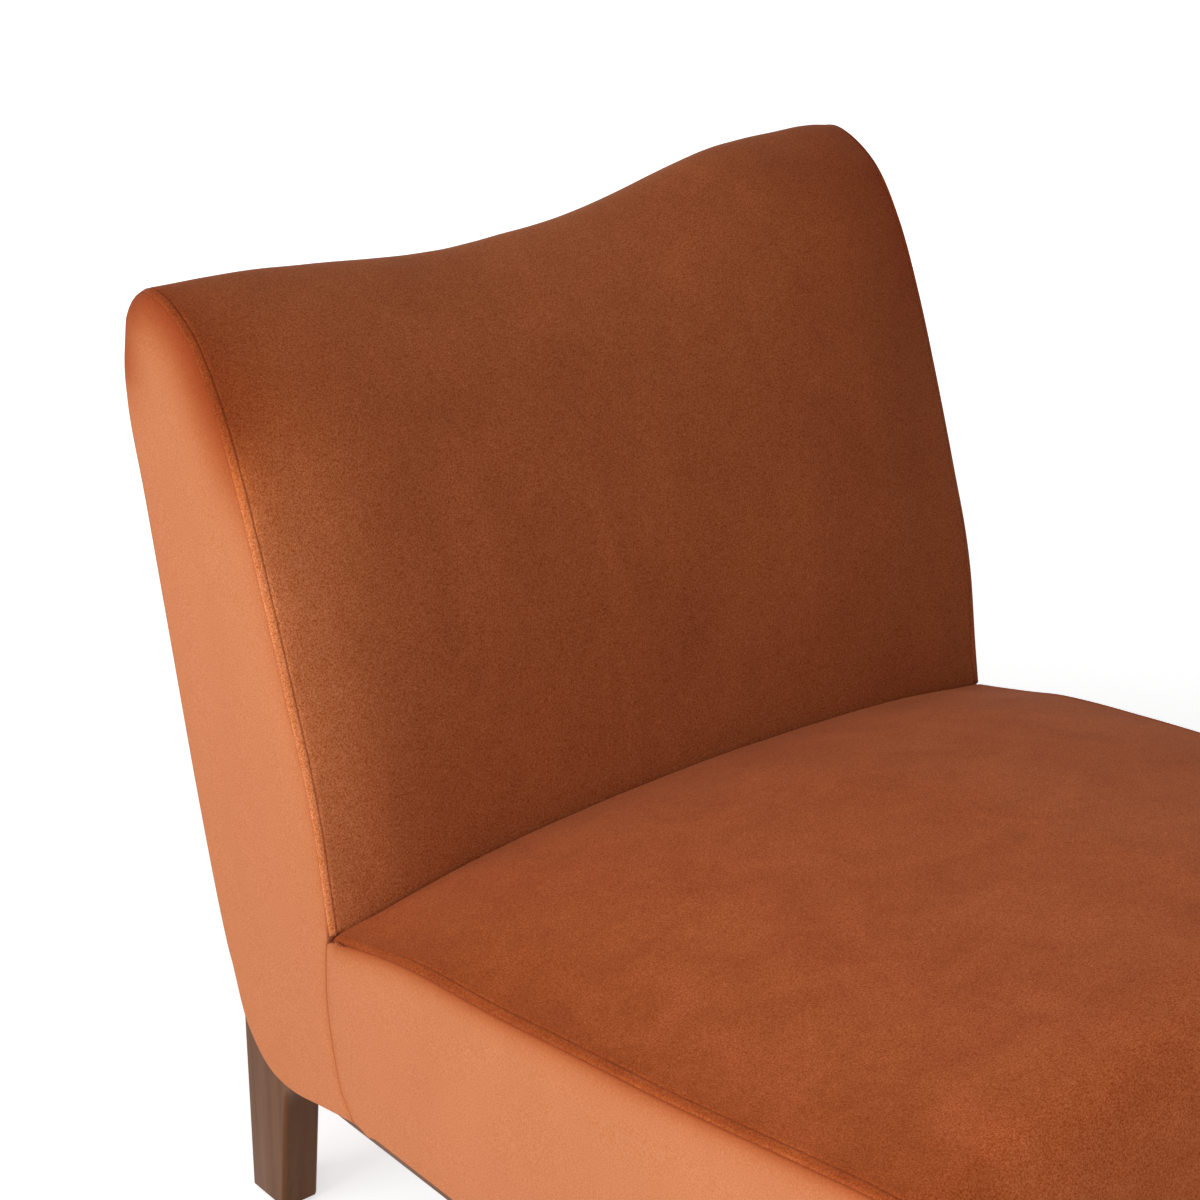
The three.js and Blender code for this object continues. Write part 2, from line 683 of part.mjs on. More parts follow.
const suspension = new THREE.Group();
const deckMiddleY = (rearRailRearY + frontRailFaceY) / 2;
suspension.position.set(0, deckMiddleY, deckAt(deckMiddleY));
suspension.rotation.x = -Math.atan(deckSlope);
chair.add(suspension);
for (let i = 0; i < springCount; i += 1) {
  const spring = add(`seat_spring_${i + 1}`, springGeometry, springSteel, suspension);
  const x = (i - (springCount - 1) / 2) * springSpacing;
  spring.position.set(x, 0, springRise + springWire / 2);
  for (const [label, side] of [['front', -1], ['rear', 1]]) {
    const clip = add(`spring_clip_${label}_${i + 1}`, clipGeometry, springSteel, suspension);
    clip.position.set(x, side * (springLength / 2 + springWire / 2 + 2 * fitGap), 0);
    if (side > 0) clip.rotation.z = Math.PI;
  }
}

const insulatorFrontY = frontRailFaceY + frameEase;
const insulatorRearY = backFoot.x - frameEase;
const insulatorOutline = [
  at(insulatorFrontY, deckAt(insulatorFrontY) + insulatorRise),
  at(insulatorRearY, deckAt(insulatorRearY) + insulatorRise),
  at(insulatorRearY, deckAt(insulatorRearY) + insulatorRise + insulatorThickness),
  at(insulatorFrontY, deckAt(insulatorFrontY) + insulatorRise + insulatorThickness),
];
add('seat_insulator', boardAcross(insulatorOutline, -frameHalfWidth, 2 * frameHalfWidth, 0), blackCloth);

// Wooden base

// The rear leg's cheek rises behind the body and is scribed to its curve
const cheekCurve = outsideBack.filter(({ point }) => point.y < legCheekHeight && point.y > bodyUnderside);
const filletArc = (centreY, fromAngle, toAngle) => new THREE.EllipseCurve(
  centreY, baseBottom - legFillet, legFillet, legFillet, fromAngle, toAngle, fromAngle > toAngle,
).getPoints(filletSteps);
const rearLegOutline = [
  at(rearLegFaceY, glideThickness),
  at(rearLegFaceY, legCheekHeight),
  at(depthAt(outsideBack, legCheekHeight) + 2 * fitGap, legCheekHeight),
  ...plainLayer(cheekCurve, -2 * fitGap),
  at(depthAt(outsideBack, bodyUnderside + fitGap), baseTop),
  at(rearLegFaceY - legReach, baseTop),
  at(rearLegFaceY - legReach, baseBottom),
  ...filletArc(rearLegFaceY - legTopDepth - legFillet, Math.PI / 2, 0),
  at(rearLegFaceY - legFootDepth, glideThickness),
];
const frontLegOutline = [
  at(frontLegFaceY, glideThickness),
  at(frontLegFaceY, baseTop),
  at(frontLegFaceY + legReach, baseTop),
  at(frontLegFaceY + legReach, baseBottom),
  ...filletArc(frontLegFaceY + legTopDepth + legFillet, Math.PI / 2, Math.PI),
  at(frontLegFaceY + legFootDepth, glideThickness),
];

const legPlaces = [
  ['rear', rearLegOutline, rearBoltY, rearLegFaceY - legFootDepth / 2],
  ['front', frontLegOutline, frontBoltY, frontLegFaceY + legFootDepth / 2],
];
for (const [end, outline, boltY, footY] of legPlaces) {
  for (const [label, side] of [['left', -1], ['right', 1]]) {
    const start = side < 0 ? -baseOuterX : legInnerX;
    const leg = boardAcross(outline, start, legThickness, legEase);
    add(`leg_${end}_${label}`, drilled(leg, side * boltX, boltY), walnut);
    const footX = side * (baseOuterX - legThickness / 2);
    const glide = uprightCylinder(glideRadius, footX, footY, 0, glideThickness - fitGap);
    add(`glide_${end}_${label}`, glide, nylon);
    const bolt = uprightCylinder(boltRadius, side * boltX, boltY, boltFoot, boltHead);
    add(`leg_bolt_${end}_${label}`, bolt, springSteel);
  }
}

const sideBaseOutline = rectangle(
  frontLegFaceY + legReach + fitGap, rearLegFaceY - legReach - fitGap, baseBottom, baseTop,
);
for (const [label, side] of [['left', -1], ['right', 1]]) {
  const start = side < 0 ? -baseOuterX : baseOuterX - baseRailThickness;
  add(`base_rail_${label}`, boardAcross(sideBaseOutline, start, baseRailThickness, legEase), walnut);
}
const baseSpan = 2 * (legInnerX - fitGap);
const frontBaseY = frontLegFaceY + baseRailSetback;
const rearBaseY = rearLegFaceY - legReach + baseRailSetback;
for (const [end, y] of [['front', frontBaseY], ['rear', rearBaseY]]) {
  const outline = rectangle(y, y + baseRailThickness, baseBottom, baseTop);
  add(`base_rail_${end}`, boardAcross(outline, -baseSpan / 2, baseSpan, legEase), walnut);
}

// Dust cover, notched round the legs
const dustWide = baseOuterX - baseRailThickness - fitGap;
const dustNarrow = legInnerX - fitGap;
const dustFrontY = frontBaseY + baseRailThickness + fitGap;
const dustRearY = rearBaseY - fitGap;
const dustNotchFrontY = frontLegFaceY + legReach + fitGap;
const dustNotchRearY = rearLegFaceY - legReach - fitGap;
const dustShape = new THREE.Shape([
  at(-dustNarrow, dustFrontY), at(dustNarrow, dustFrontY),
  at(dustNarrow, dustNotchFrontY), at(dustWide, dustNotchFrontY),
  at(dustWide, dustNotchRearY), at(dustNarrow, dustNotchRearY),
  at(dustNarrow, dustRearY), at(-dustNarrow, dustRearY),
  at(-dustNarrow, dustNotchRearY), at(-dustWide, dustNotchRearY),
  at(-dustWide, dustNotchFrontY), at(-dustNarrow, dustNotchFrontY),
]);
const dustGeometry = new THREE.ExtrudeGeometry(dustShape, {
  depth: dustCoverThickness,
  bevelEnabled: false,
});
dustGeometry.translate(0, 0, baseTop - dustCoverThickness);
add('dust_cover', dustGeometry, blackCloth);

export default chair;
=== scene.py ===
import math

import bmesh
import bpy
import numpy as np
from mathutils import Matrix, Vector, noise
from mathutils.geometry import delaunay_2d_cdt


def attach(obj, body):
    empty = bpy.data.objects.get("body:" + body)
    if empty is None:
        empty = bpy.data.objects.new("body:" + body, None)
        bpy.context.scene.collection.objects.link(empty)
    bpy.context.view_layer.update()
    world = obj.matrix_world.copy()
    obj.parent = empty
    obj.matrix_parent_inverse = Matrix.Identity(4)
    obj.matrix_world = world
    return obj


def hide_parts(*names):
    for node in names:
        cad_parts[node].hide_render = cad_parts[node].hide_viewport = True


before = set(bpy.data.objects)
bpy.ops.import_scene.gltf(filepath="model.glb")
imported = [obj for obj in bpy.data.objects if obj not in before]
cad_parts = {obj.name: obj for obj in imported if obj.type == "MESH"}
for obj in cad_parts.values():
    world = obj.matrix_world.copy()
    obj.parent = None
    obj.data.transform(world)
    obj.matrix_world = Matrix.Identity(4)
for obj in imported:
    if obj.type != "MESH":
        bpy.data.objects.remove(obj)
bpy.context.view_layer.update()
scene = bpy.context.scene
print("frame loaded,", len(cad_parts), "nodes")


def place(data, *materials):
    thing = bpy.data.objects.new(data.name, data)
    scene.collection.objects.link(thing)
    for material in materials:
        data.materials.append(material)
    return thing


# Camera
cameraView = {
    "place": (-1.35100214, -1.39054531, 1.4291),
    "azimuth": -38.92155,
    "elevation": 24.83081,
    "lens": 93.75,
    "sensor": 36.0,
}


def makeCamera(view):
    turn, rise = math.radians(view["azimuth"]), math.radians(view["elevation"])
    right = Vector((math.cos(turn), math.sin(turn), 0))
    back = Vector((math.sin(turn) * math.cos(rise), -math.cos(turn) * math.cos(rise), math.sin(rise)))
    data = bpy.data.cameras.new("studioCamera")
    data.lens, data.sensor_width = view["lens"], view["sensor"]
    scene.camera = place(data)
    facing = Matrix((right, back.cross(right), back)).transposed().to_4x4()
    scene.camera.matrix_world = Matrix.Translation(view["place"]) @ facing


makeCamera(cameraView)

# The chair's own sizes, as in the CAD, and where its stuffing is uneven
chair = {
    "width": 0.64, "depth": 0.851, "underside": 0.16,
    "jointHeight": 0.303, "seatEdgeRise": 0.085, "seatCrown": 0.042, "frontBulge": 0.009,
    "unevenFrom": -0.05, "unevenRise": (0.03, 0.14),
    "rearCrownShare": 0.66, "crownFullShare": 0.35, "seatPillowPower": 2.5,
    "backLean": 0.24, "backRise": 0.415, "backTuckShare": 0.47,
    "backCrown": 0.012, "backPillowPower": 4, "swell": (0.12, 0.4), "swellFade": (0.8, 1.0),
    "saddleDip": 0.026, "saddleFade": 0.122,
    "shoulderReach": 0.25, "shoulderLift": 0.006, "rightBulge": (0.0043, 0.2, 0.33, 0.45),
    "coverThickness": 0.004, "fitGap": 0.0003, "panelThickness": 0.012,
    "baseInset": 0.0215, "hemDrop": 0.0003, "cornerSag": 0.014, "cornerStartShare": 0.57,
}
halfWidth = chair["width"] / 2
frontY = chair["frontBulge"] - chair["depth"] / 2
rearY = chair["depth"] / 2
jointY = rearY - chair["backLean"]
jointHeight = chair["jointHeight"]
seatLength = jointY - frontY
backTop = jointHeight + chair["backRise"]
frontHeight = jointHeight + chair["seatEdgeRise"] - chair["underside"]
jointDrop = jointHeight - chair["underside"]
coverDepth = chair["coverThickness"] + chair["fitGap"]
frameHalfWidth = halfWidth - chair["panelThickness"] - chair["fitGap"]

# Side outlines, as shares of the length and rise that they follow
backFaceShares = [
    (0, 0), (0.071, 0.216), (0.183, 0.415), (0.292, 0.597), (0.392, 0.748), (0.496, 0.868),
    (0.62, 0.957), (0.79, 1), (0.92, 0.972), (0.985, 0.925), (1, 0.866),
]
outsideBackShares = [(1, 0.86), (0.983, 0.76), (0.925, 0.624), (0.833, 0.379), (0.735, 0.118)]
lowerBackShares = [(0.632, 0.354), (0.56, 0.682), (0.465, 0.905), (0.36, 1)]
seatTopShares = [
    (0.952, 0.985), (0.9, 1), (0.804, 0.894), (0.606, 0.659), (0.462, 0.518), (0.307, 0.365),
    (0.141, 0.235), (0, 0),
]
seatFrontShares = [(0.988, 0.012), (1, 0.3), (1, 0.64), (0.992, 0.86)]
seamBowShares = [(0.93, 0.15), (0.7, 0.5), (0.5, 0.62), (0.33, 0.62), (0.17, 0.56), (0.08, 0.33)]
sagShares = [(0.49, 1.35), (0.38, -0.55), (0.25, -1), (0.1, -0.6)]


def placed(shares, run, base, rise):
    return [(jointY + out * run, base + up * rise) for out, up in shares]


def ease(value, low, high):
    t = np.clip((value - low) / (high - low), 0, 1)
    return t * t * (3 - 2 * t)


# Points about one step apart on a smooth curve through the given ones, with their outward normals
def smoothLine(points, step):
    p = np.array(points, float)
    line, normals = [], []
    for i in range(len(p) - 1):
        before, start, end, after = p[max(i - 1, 0)], p[i], p[i + 1], p[min(i + 2, len(p) - 1)]
        out, into = (end - before) / 2, (after - start) / 2
        cubic, square = 2 * start - 2 * end + out + into, 3 * end - 3 * start - 2 * out - into
        pieces = max(int(round(np.linalg.norm(end - start) / step)), 1)
        last = i == len(p) - 2
        for t in np.arange(pieces + last) / pieces:
            line.append(((cubic * t + square) * t + out) * t + start)
            slope = (3 * cubic * t + 2 * square) * t + out
            normals.append(np.array((-slope[1], slope[0])) / np.linalg.norm(slope))
    return np.array(line), np.array(normals)


rowStep = 0.004
faceSlope = backFaceShares[1][0] * chair["backLean"] / (backFaceShares[1][1] * chair["backRise"])
backTuck = chair["backTuckShare"] * jointDrop
backFoot = (jointY - backTuck * faceSlope, jointHeight - backTuck)
backSpan = (chair["backLean"], jointHeight, chair["backRise"])
backFace = smoothLine([backFoot, *placed(backFaceShares, *backSpan)], rowStep)
outsideBack = smoothLine([
    *placed(outsideBackShares, *backSpan),
    *placed(lowerBackShares, chair["backLean"], jointHeight, -jointDrop),
], rowStep)
seatTop = smoothLine([
    *placed(seatFrontShares, -seatLength, chair["underside"], frontHeight),
    *placed(seatTopShares, -seatLength, jointHeight, chair["seatEdgeRise"]),
], rowStep)


# The stuffing is a little uneven: how much higher the back's top lies across the width, and the
# seat's right edge along the depth
unevenTop = [
    (-0.33, 0.001), (-0.26, -0.0005), (-0.18, -0.0033), (-0.11, -0.002), (-0.06, 0.001), (0, 0.0055),
    (0.08, 0.005), (0.14, 0.0075), (0.19, 0.0092), (0.25, 0.0073), (0.285, 0.0062), (0.305, 0.003),
    (0.325, -0.002),
]
unevenSeat = [
    (-0.5, 0.004), (-0.3, 0.006), (-0.15, 0.0075), (-0.03, 0.009), (0.03, 0.0072), (0.09, 0.003),
    (0.15, -0.001), (0.3, 0),
]
unevenTopLine, unevenSeatLine = smoothLine(unevenTop, 0.01)[0], smoothLine(unevenSeat, 0.01)[0]


# Lift of the back's top across the width: a dip in the middle between two shoulders
def topLift(x):
    outward = np.minimum(np.abs(x) / chair["shoulderReach"], 1)
    dip = chair["saddleDip"] * (1 + np.cos(np.pi * outward)) / 2
    return chair["shoulderLift"] - dip + np.interp(x, *unevenTopLine.T)


def topShare(z):
    return ease(z, backTop - chair["saddleFade"], backTop)


def seatEdgeLift(x, y, z):
    low, high = chair["unevenRise"]
    upper = ease(z, chair["underside"] + low, chair["underside"] + high)
    return np.interp(y, *unevenSeatLine.T) * ease(x, chair["unevenFrom"], halfWidth) * upper


# How far the stuffing pushes out the back's right side
def sideBulge(x, z):
    most, start, low, high = chair["rightBulge"]
    return most * ease(x, start, halfWidth) * ease(z, low, high)


def turned(normals):
    return ease(normals[:, 0], 0, 1)[:, None]


# A line's points, moved out and up, over columns across the width
def layer(line, x, out, up):
    points, normals = line
    y = points[:, :1] + normals[:, :1] * out
    return np.stack([np.broadcast_to(x, y.shape), y, points[:, 1:] + normals[:, 1:] * out + up], 2)


# One layer of the back over rows along the outline and columns across the width
def backLayer(line, x, lift, puff=None):
    points, normals = line
    x = np.atleast_2d(x)
    wider = sideBulge(x, points[:, 1:]) if puff else 0
    rise = (points[:, 1:] - jointHeight) / chair["backRise"]
    full = ease(rise, *chair["swell"]) * (1 - ease(rise, *chair["swellFade"])) * (normals[:, :1] < 0)
    puff = puff or {"crown": chair["backCrown"], "edgePuff": 0, "edgeReach": 1}
    pillow = 1 - np.abs(x / halfWidth) ** chair["backPillowPower"]
    beside = np.clip((halfWidth - np.abs(x)) / puff["edgeReach"], 0, 1)
    out = full * (puff["crown"] * pillow + puff["edgePuff"] * (1 - (1 - beside) ** 2)) + lift
    return layer(line, x + wider, out, topLift(x) * topShare(points[:, 1:]))


def seatLayer(x, lift, crown=None):
    points, normals = seatTop
    x = np.atleast_2d(x)
    forward = (jointY - points[:, 0]) / seatLength
    fullness = ease(forward, 0, chair["crownFullShare"])
    crown = chair["seatCrown"] if crown is None else crown
    crown = crown * (chair["rearCrownShare"] + (1 - chair["rearCrownShare"]) * fullness)
    rise = np.clip((points[:, 1] - chair["underside"]) / frontHeight, 0, 1)
    upward = np.clip(normals[:, 1], 0, 1) ** 2
    bulge = chair["frontBulge"] * np.sin(np.pi * rise)
    pillow = 1 - np.abs(x / halfWidth) ** chair["seatPillowPower"]
    out = (bulge * (1 - upward) + crown * upward)[:, None] * pillow + lift
    return layer(seatTop, x, out, seatEdgeLift(x, points[:, :1], points[:, 1:]))


# The rolled edge: from the tuck below the seam, round the roll, over the topstitch to the face.
# Each place has its distance in from the side, its drop, and how far the stitches pull it down.
edgeRoll = {
    "section": [
        (0.0036, -0.0040, 0), (0.0027, -0.0038, 0), (0.0020, -0.0034, 0), (0.0016, -0.0028, 0),
        (0.0017, -0.0021, 0), (0.0021, -0.0015, 0), (0.0027, -0.0010, 0), (0.0034, -0.0006, 0),
        (0.0041, -0.0003, 0), (0.0049, -0.0001, 0.0002), (0.0056, 0, 0.0003), (0.0062, 0, 0.0001),
        (0.0067, 0, -0.0004), (0.0071, 0, -0.0010), (0.0075, 0, -0.0006), (0.0081, 0, -0.0001),
        (0.0090, 0, 0.0001), (0.0108, 0, 0), (0.0145, 0, 0),
    ],
    "stitchColumn": 13, "innerStep": 0.0055,
    "lining": (0.0026, 0.0039), "liningReach": (0.012, 0.02), "underStart": 0.0042,
    "rearInset": 0.009, "rearDrop": 0.2, "rearLining": 0.0009, "plainReach": (0.05, 0.11),
}


def mirrored(edge, middle):
    return np.concatenate([edge, middle, edge[::-1]])


# Columns from side to side: the edge's own, and even ones between them
def spread(half, inward, step):
    reach = half - inward[-1]
    middle = np.linspace(-reach, reach, int(round(2 * reach / step)) + 1)[1:-1]
    return np.concatenate([inward - half, middle, (half - inward)[::-1]]), middle


def coverColumns(roll):
    inward, drop, pull = (np.array(part) for part in zip(*roll["section"]))
    x, middle = spread(halfWidth, inward, roll["innerStep"])
    still, beside = np.zeros(len(middle)), halfWidth - np.abs(middle)
    under = np.maximum(inward, roll["underStart"] + 0.0001 * np.arange(len(inward)))
    thin, full = roll["lining"]
    return {
        "x": x, "side": np.sign(x), "last": inward[-1],
        "inward": mirrored(inward, beside), "under": mirrored(under, beside),
        "drop": mirrored(drop, still), "pull": mirrored(pull, still),
        "lining": thin + (full - thin) * ease(halfWidth - np.abs(x), *roll["liningReach"]),
    }


columns = coverColumns(edgeRoll)


# The roll at each row, outside and lining: it draws in from the side where the cover turns over the
# top, and it has no stitches where it is plain
def rollRows(turning, plain):
    def drawn(inward):
        share = np.clip(1 - inward / columns["last"], 0, 1)
        return inward + turning * edgeRoll["rearInset"] * share

    lift = columns["drop"] * (1 + (edgeRoll["rearDrop"] - 1) * turning)
    lift = lift + columns["pull"] * (1 - turning) * (1 - plain)
    thinned = turning * (1 - ease(columns["under"], edgeRoll["liningReach"][0], columns["last"]))
    lining = columns["lining"] + (edgeRoll["rearLining"] - columns["lining"]) * thinned
    x = columns["side"] * (halfWidth - drawn(columns["inward"]))
    return x, lift, columns["side"] * (halfWidth - drawn(columns["under"])), -lining


# A closed shell between an outer and an inner grid of points, over the grid's kept squares
def shellMesh(name, outer, inner, kept=None):
    rows, cols = outer.shape[:2]
    kept = np.ones((rows - 1, cols - 1), bool) if kept is None else kept
    index = np.arange(rows * cols).reshape(rows, cols)
    squares = np.stack([index[:-1, :-1], index[:-1, 1:], index[1:, 1:], index[1:, :-1]], 2)[kept]
    count = rows * cols
    sides = np.concatenate([squares[:, [k, (k + 1) % 4]] for k in range(4)])
    known = {tuple(side) for side in sides.tolist()}
    rim = [(b, a, a + count, b + count) for a, b in known if (b, a) not in known]
    faces = squares.tolist() + (squares[:, ::-1] + count).tolist() + sorted(rim)
    return closedMesh(name, np.concatenate([outer.reshape(-1, 3), inner.reshape(-1, 3)]), faces)


def closedMesh(name, points, faces):
    mesh = bpy.data.meshes.new(name)
    mesh.from_pydata([tuple(point) for point in points], [], faces)
    work = bmesh.new()
    work.from_mesh(mesh)
    bmesh.ops.delete(work, geom=[v for v in work.verts if not v.link_faces], context="VERTS")
    bmesh.ops.recalc_face_normals(work, faces=work.faces)
    if work.calc_volume(signed=True) < 0:
        bmesh.ops.reverse_faces(work, faces=work.faces)
    work.to_mesh(mesh)
    work.free()
    mesh.shade_smooth()
    return mesh


# A mesh's points, or the normals at them
def pointsOf(mesh, kind="vertices", what="co"):
    found = np.zeros(len(mesh.vertices) * 3)
    getattr(mesh, kind).foreach_get(what, found)
    return found.reshape(-1, 3)


def standFor(piece, nodes):
    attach(piece, "root")
    if nodes:
        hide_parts(*nodes)
    return piece


# A share that fades out over a distance
def fading(apart, most, reach, power=1):
    return most * np.exp(-(apart / reach) ** power)


# At each point, how much painted shade darkens the pile on the roll beside a seam, and how much painted
# light lightens it where it turns towards the lamp; where that second share is below zero it is painted shade
def markPile(mesh, paintedShadeShare, paintedLightShare):
    spots = pointsOf(mesh)
    for name, share, low in (("paintedShadeShare", paintedShadeShare, 0), ("paintedLightShare", paintedLightShare, -0.5)):
        mark = mesh.attributes.new(name, "FLOAT", "POINT")
        found = share(*spots.T) + np.zeros(len(spots))
        mark.data.foreach_set("value", np.clip(found, low, 2).astype(np.float32))


# A padded velvet piece that is a shell between two grids
def velvetShell(name, node, look, outer, inner, kept=None, marks=None):
    mesh = shellMesh(name, outer, inner, kept)
    if marks:
        markPile(mesh, *marks)
    standFor(place(mesh, velvet[look]), [node])


def fromSide(x):
    return np.maximum(halfWidth - np.abs(x), 0)


def gridNormals(grid):
    normals = np.cross(np.gradient(grid, axis=1), np.gradient(grid, axis=0))
    return normals / np.maximum(np.linalg.norm(normals, axis=2, keepdims=True), 1e-9)


# Small lasting unevenness of stuffed cloth
def softWaves(grid, waves):
    lift = np.zeros(grid.shape[:2])
    for height, length in waves:
        flat = [noise.noise(Vector(point) / length) for point in grid.reshape(-1, 3)]
        lift += height * np.array(flat).reshape(lift.shape)
    return lift


# Cloth under slight pressure, held along its seams, on every few rows and columns of a grid
clothRun = {
    "stride": 3, "lining": 0.03, "frames": 20, "clear": 0.006, "calmReach": 0.05,
    "settings": {
        "quality": 6, "mass": 0.3, "air_damping": 4, "tension_stiffness": 22.0,
        "compression_stiffness": 22.0, "bending_stiffness": 2.0, "use_pressure": True,
        "uniform_pressure_force": 4.0, "vertex_group_mass": "seams",
    },
}


def settle(name, outer, normals, held, cap):
    rows, cols = (np.unique([*range(0, size, clothRun["stride"]), size - 1]) for size in outer.shape[:2])
    picked = np.ix_(rows, cols)
    start, free = outer[picked], ~held[picked].reshape(-1)
    mesh = shellMesh(name, start, start - normals[picked] * clothRun["lining"])
    pad = place(mesh)
    pins = pad.vertex_groups.new(name="seams")
    pins.add([i for i in range(len(mesh.vertices)) if i >= len(free) or not free[i]], 1.0, "REPLACE")
    cloth = pad.modifiers.new("cloth", "CLOTH")
    for setting, value in clothRun["settings"].items():
        setattr(cloth.settings, setting, value)
    cloth.settings.effector_weights.gravity = 0
    cloth.point_cache.frame_end = clothRun["frames"]
    for step in range(1, clothRun["frames"] + 1):
        scene.frame_set(step)
    loose = pad.evaluated_get(bpy.context.evaluated_depsgraph_get())
    moved = pointsOf(loose.data)[:len(free)].reshape(start.shape) - start
    scene.frame_set(1)
    bpy.data.objects.remove(pad)
    bpy.data.meshes.remove(mesh)
    far = np.linalg.norm(moved, axis=2, keepdims=True)
    print(name, "swelled by up to", round(float(far.max()) * 1000, 1), "mm")
    moved = moved * cap / (cap + far)
    full = np.zeros(outer.shape)
    for k in range(3):
        wide = np.array([np.interp(np.arange(outer.shape[1]), cols, row) for row in moved[:, :, k]])
        full[:, :, k] = np.array([np.interp(np.arange(outer.shape[0]), rows, col) for col in wide.T]).T
    return full


# Nodes: an input is a value, or the output of another node
def fill(tree, node, inputs):
    for socket, value in inputs.items():
        if isinstance(value, bpy.types.NodeSocket):
            tree.links.new(value, node.inputs[socket])
        else:
            node.inputs[socket].default_value = value
    return node


def newNode(tree, kind, inputs=None, **settings):
    node = tree.nodes.new(kind)
    for setting, value in settings.items():
        setattr(node, setting, value)
    return fill(tree, node, inputs or {})


def noiseNode(tree, vector, scale, detail, distortion=0.0):
    return newNode(tree, "ShaderNodeTexNoise", {
        "Vector": vector, "Scale": scale, "Detail": detail, "Distortion": distortion,
    }).outputs["Fac"]


def cellNode(tree, vector, scale, randomness=1.0):
    return newNode(tree, "ShaderNodeTexVoronoi", {
        "Vector": vector, "Scale": scale, "Randomness": randomness,
    }).outputs["Distance"]


def maths(tree, operation, *values, clamp=False):
    inputs = dict(enumerate(values))
    return newNode(tree, "ShaderNodeMath", inputs, operation=operation, use_clamp=clamp).outputs[0]


def vectors(tree, operation, *values):
    inputs = {0: values[0], "Scale": values[1]} if operation == "SCALE" else dict(enumerate(values))
    return newNode(tree, "ShaderNodeVectorMath", inputs, operation=operation).outputs[0]


def between(tree, value, low, high, start=0.0, end=1.0):
    inputs = dict(enumerate((value, low, high, start, end)))
    return newNode(tree, "ShaderNodeMapRange", inputs).outputs["Result"]


def mixColors(tree, share, first, second, blend="MIX"):
    inputs = {0: share, 6: first, 7: second}
    return newNode(tree, "ShaderNodeMix", inputs, data_type="RGBA", blend_type=blend).outputs[2]


def objectPlace(tree, stretch=None):
    spot = newNode(tree, "ShaderNodeTexCoord").outputs["Object"]
    if stretch is None:
        return spot
    return newNode(tree, "ShaderNodeMapping", {"Vector": spot, "Scale": stretch}).outputs["Vector"]


def bump(tree, height, distance, strength):
    inputs = {"Height": height, "Distance": distance, "Strength": strength}
    return newNode(tree, "ShaderNodeBump", inputs).outputs["Normal"]


# A material whose look gives what goes into its shader
def newMaterial(name, look, *given):
    material = bpy.data.materials.new(name)
    material.use_nodes = True
    tree = material.node_tree
    fill(tree, tree.nodes["Principled BSDF"], look(tree, *given))
    return material


# Velvet: broad patches where the pile leans another way, finer ones in them, and its speckle; it is
# darkened by painted shade on the rolls beside seams, and lightened by painted light towards the lamp
nap = {
    "speckleScale": 900, "speckleTint": (0.8, 1.6, 2.9), "fineScale": 7, "fineHeight": 0.6,
    # The colour by which painted light lightens the pile
    "paintedLightTint": (0.95, 1.45, 2.1),
}
# Three copies of one velvet: the side panels' copy is painted lighter as if lit, the face's and the seat's
# darker as if in shade; each also holds the colour of its painted shade on the rolls
velvets = {
    "shadedVelvetFace": {
        "pile": (0.265, 0.062, 0.017, 1), "brushed": (0.37, 0.095, 0.027, 1), "stretch": (1, 1, 0.5),
        "patchScale": 13.0, "patches": 0.5, "speckle": 0.33, "paintedShade": (0.83, 0.57, 0.32, 1),
    },
    "shadedVelvetSeat": {
        "pile": (0.345, 0.070, 0.015, 1), "brushed": (0.47, 0.110, 0.030, 1), "stretch": (1, 1, 1),
        "patchScale": 16.0, "patches": 0.65, "speckle": 0.34, "paintedShade": (0.74, 0.60, 0.38, 1),
    },
    "velvetSide": {
        "pile": (0.56, 0.185, 0.074, 1), "brushed": (0.63, 0.222, 0.094, 1), "stretch": (1, 1, 0.45),
        "patchScale": 11.0, "patches": 0.4, "speckle": 0.12, "paintedShade": (0.52, 0.25, 0.113, 1),
    },
}


def velvetLook(tree, look):
    free, scale = objectPlace(tree), look["patchScale"]
    broad = noiseNode(tree, objectPlace(tree, look["stretch"]), scale, 4, 0.7)
    small = noiseNode(tree, free, scale * nap["fineScale"], 3, 0.3)
    pile = noiseNode(tree, free, nap["speckleScale"], 2)
    patches = maths(tree, "ADD", between(tree, broad, 0.3, 0.7, -0.5, 0.5),
                    between(tree, small, 0.3, 0.7, -0.22, 0.22))
    share = maths(tree, "MULTIPLY_ADD", patches, look["patches"], 0.5, clamp=True)
    color = mixColors(tree, share, look["pile"], look["brushed"])
    grain = maths(tree, "MULTIPLY", between(tree, pile, 0.3, 0.7, -1, 1), look["speckle"])
    color = vectors(tree, "MULTIPLY_ADD", vectors(tree, "SCALE", nap["speckleTint"], grain), color, color)
    # Painted shade on the rolls beside seams darkens the colour, and painted light lightens it
    paintedShadeShare, paintedLightShare = (newNode(tree, "ShaderNodeAttribute", attribute_name=name).outputs["Fac"]
                       for name in ("paintedShadeShare", "paintedLightShare"))
    paintedShadeTint = newNode(tree, "ShaderNodeGamma", {"Color": look["paintedShade"], "Gamma": paintedShadeShare}).outputs["Color"]
    color = vectors(tree, "MULTIPLY", color, paintedShadeTint)
    paintedLightGain = vectors(tree, "SCALE", nap["paintedLightTint"], paintedLightShare)
    height = maths(tree, "MULTIPLY_ADD", small, nap["fineHeight"], pile)
    return {
        "Base Color": vectors(tree, "MULTIPLY_ADD", paintedLightGain, color, color),
        "Roughness": 0.85, "Specular IOR Level": 0.15,
        "Sheen Weight": 0.15, "Sheen Roughness": 0.5, "Sheen Tint": (1.0, 0.5, 0.3, 1),
        "Normal": bump(tree, height, 0.0005, 0.35),
    }


